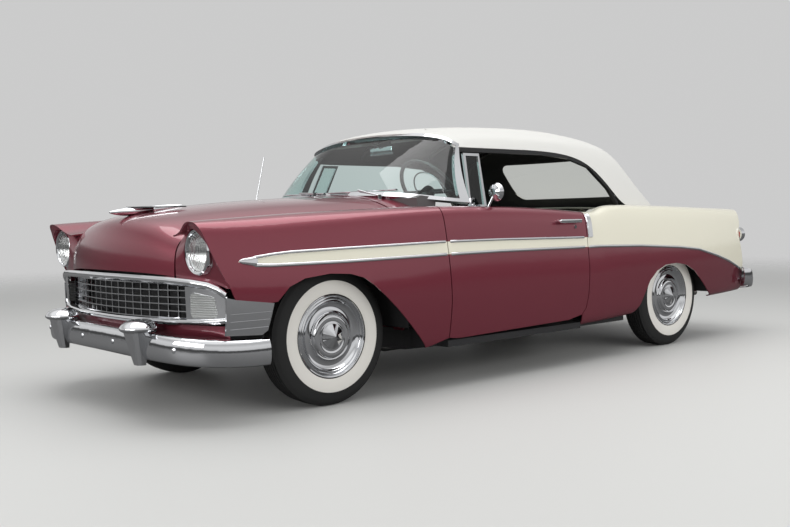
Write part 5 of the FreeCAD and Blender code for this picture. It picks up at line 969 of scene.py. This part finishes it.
# Door trim: boards covered in hide, held to the door's inner side by clips, with grooves pressed in above.
# Each has a bright strip, a padded armrest and a chromed window crank.
PANEL_SPAN = (-0.80, 0.27)
PANEL_HEIGHTS = (0.33, 0.90)
PANEL_GRID = (64, 24)
PANEL_PROUD = 0.006
PANEL_GROOVE = 0.002
PANEL_GROOVE_FROM = -0.1
PANEL_PITCH = 0.06
INSIDE_X = 0.3
ARMREST_PLACE = (-0.10, 0.72)
ARMREST_HALF = (0.030, 0.15, 0.022)
ARMREST_STAND = 0.026
CRANK_PLACE = (-0.42, 0.70)
CRANK_REACH = Vector((0, 0.07, -0.05))
CRANK_BOSS = (0, 0.030, 0.014)
CRANK_ARM = (0.024, 0.034, 0.006)
CRANK_KNOB = (0.030, 0.060, 0.009)
TRIM_STRIP_Z = 0.62
TRIM_STRIP_STARTS = (-0.70, -0.45, -0.20, 0.05)
TRIM_STRIP_STEP = 0.2
TRIM_STRIP_STAND = 0.007
TRIM_STRIP_RADIUS = 0.004
door_hide = finish("door_hide", HIDE, 0.5)


def from_inside(tree, side, y, z):
    """The surface point at (y, z) on the inner face of a side."""
    return tree.ray_cast(Vector((side * INSIDE_X, y, z)), Vector((side, 0, 0)))[0]


def panel_point(door, side, along, upward):
    y = between(PANEL_SPAN, along)
    hit = from_inside(door, side, y, between(PANEL_HEIGHTS, upward))
    if hit is None:
        return None
    wave = abs(math.sin(math.pi * (y + 1) / PANEL_PITCH)) ** 0.4
    groove = PANEL_GROOVE * (1 - wave) if upward > PANEL_GROOVE_FROM else 0.0
    edge = max(abs(along), abs(upward)) > GRID_EDGE
    return hit - Vector((side * (0 if edge else PANEL_PROUD - groove), 0, 0))


for side, word in SIDES:
    door = surface_of("door_" + word)
    inward = Vector((-side, 0, 0))
    build = draped(PANEL_GRID, lambda along, upward: panel_point(door, side, along, upward))
    face_along(build, inward)
    piece_from("door_trim_" + word, build, "door_" + word, door_hide)
    build = bmesh.new()
    rest = from_inside(door, side, *ARMREST_PLACE)
    rounded_block(build, rest + inward * ARMREST_STAND, ARMREST_HALF)
    piece_from("door_armrest_" + word, build, "door_" + word, door_hide)
    build = bmesh.new()
    crank = from_inside(door, side, *CRANK_PLACE)
    grip = crank + CRANK_REACH
    short_rod(build, crank + inward * CRANK_BOSS[0], crank + inward * CRANK_BOSS[1], CRANK_BOSS[2], 20)
    short_rod(build, crank + inward * CRANK_ARM[0], grip + inward * CRANK_ARM[1], CRANK_ARM[2], 10)
    short_rod(build, grip + inward * CRANK_KNOB[0], grip + inward * CRANK_KNOB[1], CRANK_KNOB[2], 16)
    for y in TRIM_STRIP_STARTS:
        first = from_inside(door, side, y, TRIM_STRIP_Z)
        second = from_inside(door, side, y + TRIM_STRIP_STEP, TRIM_STRIP_Z)
        if first is not None and second is not None:
            short_rod(build, first + inward * TRIM_STRIP_STAND, second + inward * TRIM_STRIP_STAND,
                      TRIM_STRIP_RADIUS, 8)
    piece_from("door_crank_" + word, build, "door_" + word, chrome)

# Carpet: dark looped pile over the floor from the toe board to the rear seat, glued down.
# It lies just above the floor pan and follows its shape.
CARPET_GRID = (60, 70)
CARPET_SIZE = (1.24, 1.30)
CARPET_MIDDLE_Y = -0.20
CARPET_RISE = 0.007
CARPET_FROM_Z = 1.3
carpet = finish("carpet", (0.10, 0.085, 0.080), 0.95)
floor_surface = surface_of("floor_pan")


def carpet_point(across, along):
    start = Vector((across * CARPET_SIZE[0], CARPET_MIDDLE_Y + along * CARPET_SIZE[1], CARPET_FROM_Z))
    hit = floor_surface.ray_cast(start, Vector((0, 0, -1)))[0]
    return None if hit is None else hit + Vector((0, 0, CARPET_RISE))


build = draped(CARPET_GRID, carpet_point)
face_along(build, Vector((0, 0, 1)))
piece_from("carpet", build, "car_body", carpet)

# Inside mirror and sun visors: a bright mirror on a short stalk, and two padded boards covered in hide.
# All are screwed to the header over the windshield.
HEADER_Z = 1.385
HEADER_Y = -0.62
HEADER_FROM_Y = 0.3
STALK_END = Vector((0, 0.07, -0.03))
STALK_RADIUS = 0.005
INSIDE_MIRROR_PLACE = Vector((0, 0.075, -0.045))
INSIDE_MIRROR_HALF = (0.105, 0.008, 0.028)
VISOR_PLACE = (0.31, 0.10, 0.006)
VISOR_HALF = (0.17, 0.070, 0.009)
VISOR_TURN = 0.12
header_surface = surface_of("windshield_frame")
header = header_surface.ray_cast(Vector((0.0, HEADER_FROM_Y, HEADER_Z)), Vector((0, -1, 0)))[0]
header = header if header is not None else Vector((0.0, HEADER_Y, HEADER_Z))
build = bmesh.new()
short_rod(build, header, header + STALK_END, STALK_RADIUS, 10)
rounded_block(build, header + INSIDE_MIRROR_PLACE, INSIDE_MIRROR_HALF)
piece_from("inside_mirror", build, "car_body", chrome)
for side, word in SIDES:
    build = bmesh.new()
    rounded_block(build, header + Vector((side * VISOR_PLACE[0], VISOR_PLACE[1], VISOR_PLACE[2])), VISOR_HALF,
                  Matrix.Rotation(VISOR_TURN, 3, "X"))
    visor = piece_from("sun_visor_" + word, build, "car_body", door_hide)

# Folding top: one stretched sheet of pale vinyl-faced canvas, black inside, sewn along two seams.
# It is stretched over steel bows and held to the header and behind the rear seat.
SEAM_X = 0.36
SEAM_HALF = 0.009
SEAM_RISE = 0.004
SEAM_EDGE = -0.0005
SEAM_GRID = (4, 70)
SEAM_SPAN = (-0.50, 0.75)
ABOVE_Z = 1.8
CABIN_MIDDLE = Vector((0, 0.2, 1.0))
top_fabric = finish("top_fabric", (0.60, 0.595, 0.57), 0.8)
top_lining = finish("top_lining", (0.02, 0.02, 0.021), 0.9)


def woven_group():
    """Fine cloth grain as a normal."""
    tree = bpy.data.node_groups.new("woven", "ShaderNodeTree")
    for name in ("Scale", "Strength"):
        tree.interface.new_socket(name=name, in_out="INPUT", socket_type="NodeSocketFloat")
    tree.interface.new_socket(name="Normal", in_out="OUTPUT", socket_type="NodeSocketVector")
    given = tree.nodes.new("NodeGroupInput")
    output = tree.nodes.new("NodeGroupOutput")
    place = tree.nodes.new("ShaderNodeTexCoord")
    noise = tree.nodes.new("ShaderNodeTexNoise")
    noise.inputs["Detail"].default_value = 3.0
    bump = tree.nodes.new("ShaderNodeBump")
    bump.inputs["Distance"].default_value = 0.001
    tree.links.new(place.outputs["Object"], noise.inputs["Vector"])
    tree.links.new(given.outputs["Scale"], noise.inputs["Scale"])
    tree.links.new(noise.outputs["Fac"], bump.inputs["Height"])
    tree.links.new(given.outputs["Strength"], bump.inputs["Strength"])
    tree.links.new(bump.outputs["Normal"], output.inputs["Normal"])
    return tree


woven = woven_group()
raised(top_fabric, woven, Scale=900.0, Strength=0.2)
raised(carpet, woven, Scale=500.0, Strength=0.6)
raised(seat_cloth, woven, Scale=700.0, Strength=0.3)
build = bmesh.new()
build.from_mesh(nodes["soft_top"].data)
bmesh.ops.remove_doubles(build, verts=build.verts, dist=1e-5)
build.normal_update()
roof = surface_of("soft_top")
for face in build.faces:
    middle = face.calc_center_median()
    hit = roof.ray_cast(middle + face.normal * 0.002, face.normal)[0]
    inward = (CABIN_MIDDLE - middle).dot(face.normal) > 0
    face.material_index = int(inward and (hit is not None or face.normal.z < 0.2))
canvas = piece_from("top_canvas", build, "car_body", top_fabric, top_lining)
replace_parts(canvas, "soft_top")


def seam_point(side, across, along):
    start = Vector((side * SEAM_X + across * 2 * SEAM_HALF, between(SEAM_SPAN, along), ABOVE_Z))
    hit = roof.ray_cast(start, Vector((0, 0, -1)))[0]
    return None if hit is None else hit + Vector((0, 0, SEAM_EDGE if abs(across) > GRID_EDGE else SEAM_RISE))


for side, word in SIDES:
    build = draped(SEAM_GRID, lambda across, along: seam_point(side, across, along))
    face_along(build, Vector((0, 0, 1)))
    piece_from("top_seam_" + word, build, "car_body", top_fabric)

# Floor: a pale, flat studio floor under the car, which is no part of it.
# It fades into the even background with distance, and chrome mirrors it darker than it is seen.
FLOOR_HALF = 40.0
FLOOR_SEEN = (0.58, 0.58, 0.565, 1.0)
FLOOR_MIRRORED = (0.08, 0.08, 0.08, 1.0)
FADE_FROM = 6.0
FADE_TO = 15.0
floor_material = finish("floor_pale", FLOOR_SEEN[:3], 0.55)
tree = floor_material.node_tree
floor_shader = tree.nodes["Principled BSDF"]
ray = tree.nodes.new("ShaderNodeLightPath")
tone = tree.nodes.new("ShaderNodeMix")
tone.data_type = "RGBA"
tone.inputs["A"].default_value = FLOOR_SEEN
tone.inputs["B"].default_value = FLOOR_MIRRORED
place = tree.nodes.new("ShaderNodeTexCoord")
reach = tree.nodes.new("ShaderNodeVectorMath")
reach.operation = "LENGTH"
fade = tree.nodes.new("ShaderNodeMapRange")
fade.inputs["From Min"].default_value = FADE_FROM
fade.inputs["From Max"].default_value = FADE_TO
fade.interpolation_type = "SMOOTHSTEP"
clear = tree.nodes.new("ShaderNodeBsdfTransparent")
blend = tree.nodes.new("ShaderNodeMixShader")
tree.links.new(ray.outputs["Is Glossy Ray"], tone.inputs["Factor"])
tree.links.new(tone.outputs["Result"], floor_shader.inputs["Base Color"])
tree.links.new(place.outputs["Object"], reach.inputs[0])
tree.links.new(reach.outputs["Value"], fade.inputs["Value"])
tree.links.new(fade.outputs["Result"], blend.inputs["Fac"])
tree.links.new(floor_shader.outputs["BSDF"], blend.inputs[1])
tree.links.new(clear.outputs["BSDF"], blend.inputs[2])
tree.links.new(blend.outputs["Shader"], tree.nodes["Material Output"].inputs["Surface"])
build = bmesh.new()
bmesh.ops.create_grid(build, x_segments=1, y_segments=1, size=FLOOR_HALF)
floor_mesh = bpy.data.meshes.new("floor")
build.to_mesh(floor_mesh)
build.free()
floor_mesh.materials.append(floor_material)
floor = bpy.data.objects.new("floor", floor_mesh)
bpy.context.scene.collection.objects.link(floor)


# Studio light: one wide soft box overhead, one along the car's left side and one in front, and a grey world.
# Chrome and glass mirror a ring of tones with a dark band at the horizon. The camera sees an even grey.
WORLD_GREY = (0.78, 0.79, 0.80, 1)
WORLD_STRENGTH = 0.62
SEEN_GREY = (0.60, 0.60, 0.60, 1)
MIRRORED_BANDS = ((0.47, 0.22), (0.50, 0.05), (0.525, 0.09), (0.54, 0.62), (0.62, 0.70), (0.74, 0.45),
                  (0.86, 0.95))
MIRRORED_ENDS = (0.06, 0.95)


def soft_light(name, place, target, size_x, size_y, power):
    """A rectangular area lamp aimed at a target."""
    data = bpy.data.lights.new(name, "AREA")
    data.shape = "RECTANGLE"
    data.size = size_x
    data.size_y = size_y
    data.energy = power
    lamp = bpy.data.objects.new(name, data)
    lamp.location = place
    lamp.rotation_euler = (Vector(target) - Vector(place)).to_track_quat("-Z", "Y").to_euler()
    bpy.context.scene.collection.objects.link(lamp)
    return lamp


soft_light("overhead", (0.5, -0.5, 6.0), (0, 0, 0), 9.0, 5.0, 310)
left_wall = soft_light("left_wall", (7.5, 1.0, 2.6), (0, 0, 0.9), 9.0, 2.6, 230)
left_wall.visible_glossy = False
soft_light("front_wall", (1.0, -8.5, 3.0), (0, 0, 0.8), 7.0, 2.5, 190)

world = bpy.data.worlds.new("studio")
world.use_nodes = True
tree = world.node_tree
ambient = tree.nodes["Background"]
ambient.inputs["Color"].default_value = WORLD_GREY
ambient.inputs["Strength"].default_value = WORLD_STRENGTH
seen = tree.nodes.new("ShaderNodeBackground")
seen.inputs["Color"].default_value = SEEN_GREY
mirrored = tree.nodes.new("ShaderNodeBackground")
place = tree.nodes.new("ShaderNodeTexCoord")
split = tree.nodes.new("ShaderNodeSeparateXYZ")
bands = tree.nodes.new("ShaderNodeValToRGB")
for element, place_on, level in zip(bands.color_ramp.elements, (0.0, 1.0), MIRRORED_ENDS):
    element.position = place_on
    element.color = (level, level, level, 1)
for place_on, level in MIRRORED_BANDS:
    element = bands.color_ramp.elements.new(place_on)
    element.color = (level, level, level, 1)
scale = tree.nodes.new("ShaderNodeMapRange")
scale.inputs["From Min"].default_value = -1.0
tree.links.new(place.outputs["Generated"], split.inputs["Vector"])
tree.links.new(split.outputs["Z"], scale.inputs["Value"])
tree.links.new(scale.outputs["Result"], bands.inputs["Fac"])
tree.links.new(bands.outputs["Color"], mirrored.inputs["Color"])
path = tree.nodes.new("ShaderNodeLightPath")
either = tree.nodes.new("ShaderNodeMixShader")
final = tree.nodes.new("ShaderNodeMixShader")
tree.links.new(path.outputs["Is Glossy Ray"], either.inputs["Fac"])
tree.links.new(ambient.outputs["Background"], either.inputs[1])
tree.links.new(mirrored.outputs["Background"], either.inputs[2])
tree.links.new(path.outputs["Is Camera Ray"], final.inputs["Fac"])
tree.links.new(either.outputs["Shader"], final.inputs[1])
tree.links.new(seen.outputs["Background"], final.inputs[2])
tree.links.new(final.outputs["Shader"], tree.nodes["World Output"].inputs["Surface"])
bpy.context.scene.world = world

# Camera: at the photo's viewpoint, off the car's front left corner and a little below the belt's height.
# Its lens and turn were fitted to the wheels, lamps and bumpers in the photo.
CAMERA_PLACE = Vector((4.5189, -4.3640, 0.9214))
CAMERA_TURN = math.radians(49.125)
CAMERA_DIP = math.radians(2.768)
CAMERA_ROLL = math.radians(-1.184)
CAMERA_LENS = 43.005
SENSOR_WIDTH = 36.0
camera_data = bpy.data.cameras.new("camera")
camera_data.sensor_width = SENSOR_WIDTH
camera_data.lens = CAMERA_LENS
camera = bpy.data.objects.new("camera", camera_data)
back = Vector((math.sin(CAMERA_TURN) * math.cos(CAMERA_DIP),
               -math.cos(CAMERA_TURN) * math.cos(CAMERA_DIP), math.sin(CAMERA_DIP)))
level = Vector((math.cos(CAMERA_TURN), math.sin(CAMERA_TURN), 0))
upright = back.cross(level)
right = level * math.cos(CAMERA_ROLL) + upright * math.sin(CAMERA_ROLL)
up = upright * math.cos(CAMERA_ROLL) - level * math.sin(CAMERA_ROLL)
camera.matrix_world = Matrix((
    (right.x, up.x, back.x, CAMERA_PLACE.x),
    (right.y, up.y, back.y, CAMERA_PLACE.y),
    (right.z, up.z, back.z, CAMERA_PLACE.z),
    (0, 0, 0, 1),
))
bpy.context.scene.collection.objects.link(camera)
bpy.context.scene.camera = camera
bpy.context.scene.view_settings.view_transform = "Standard"
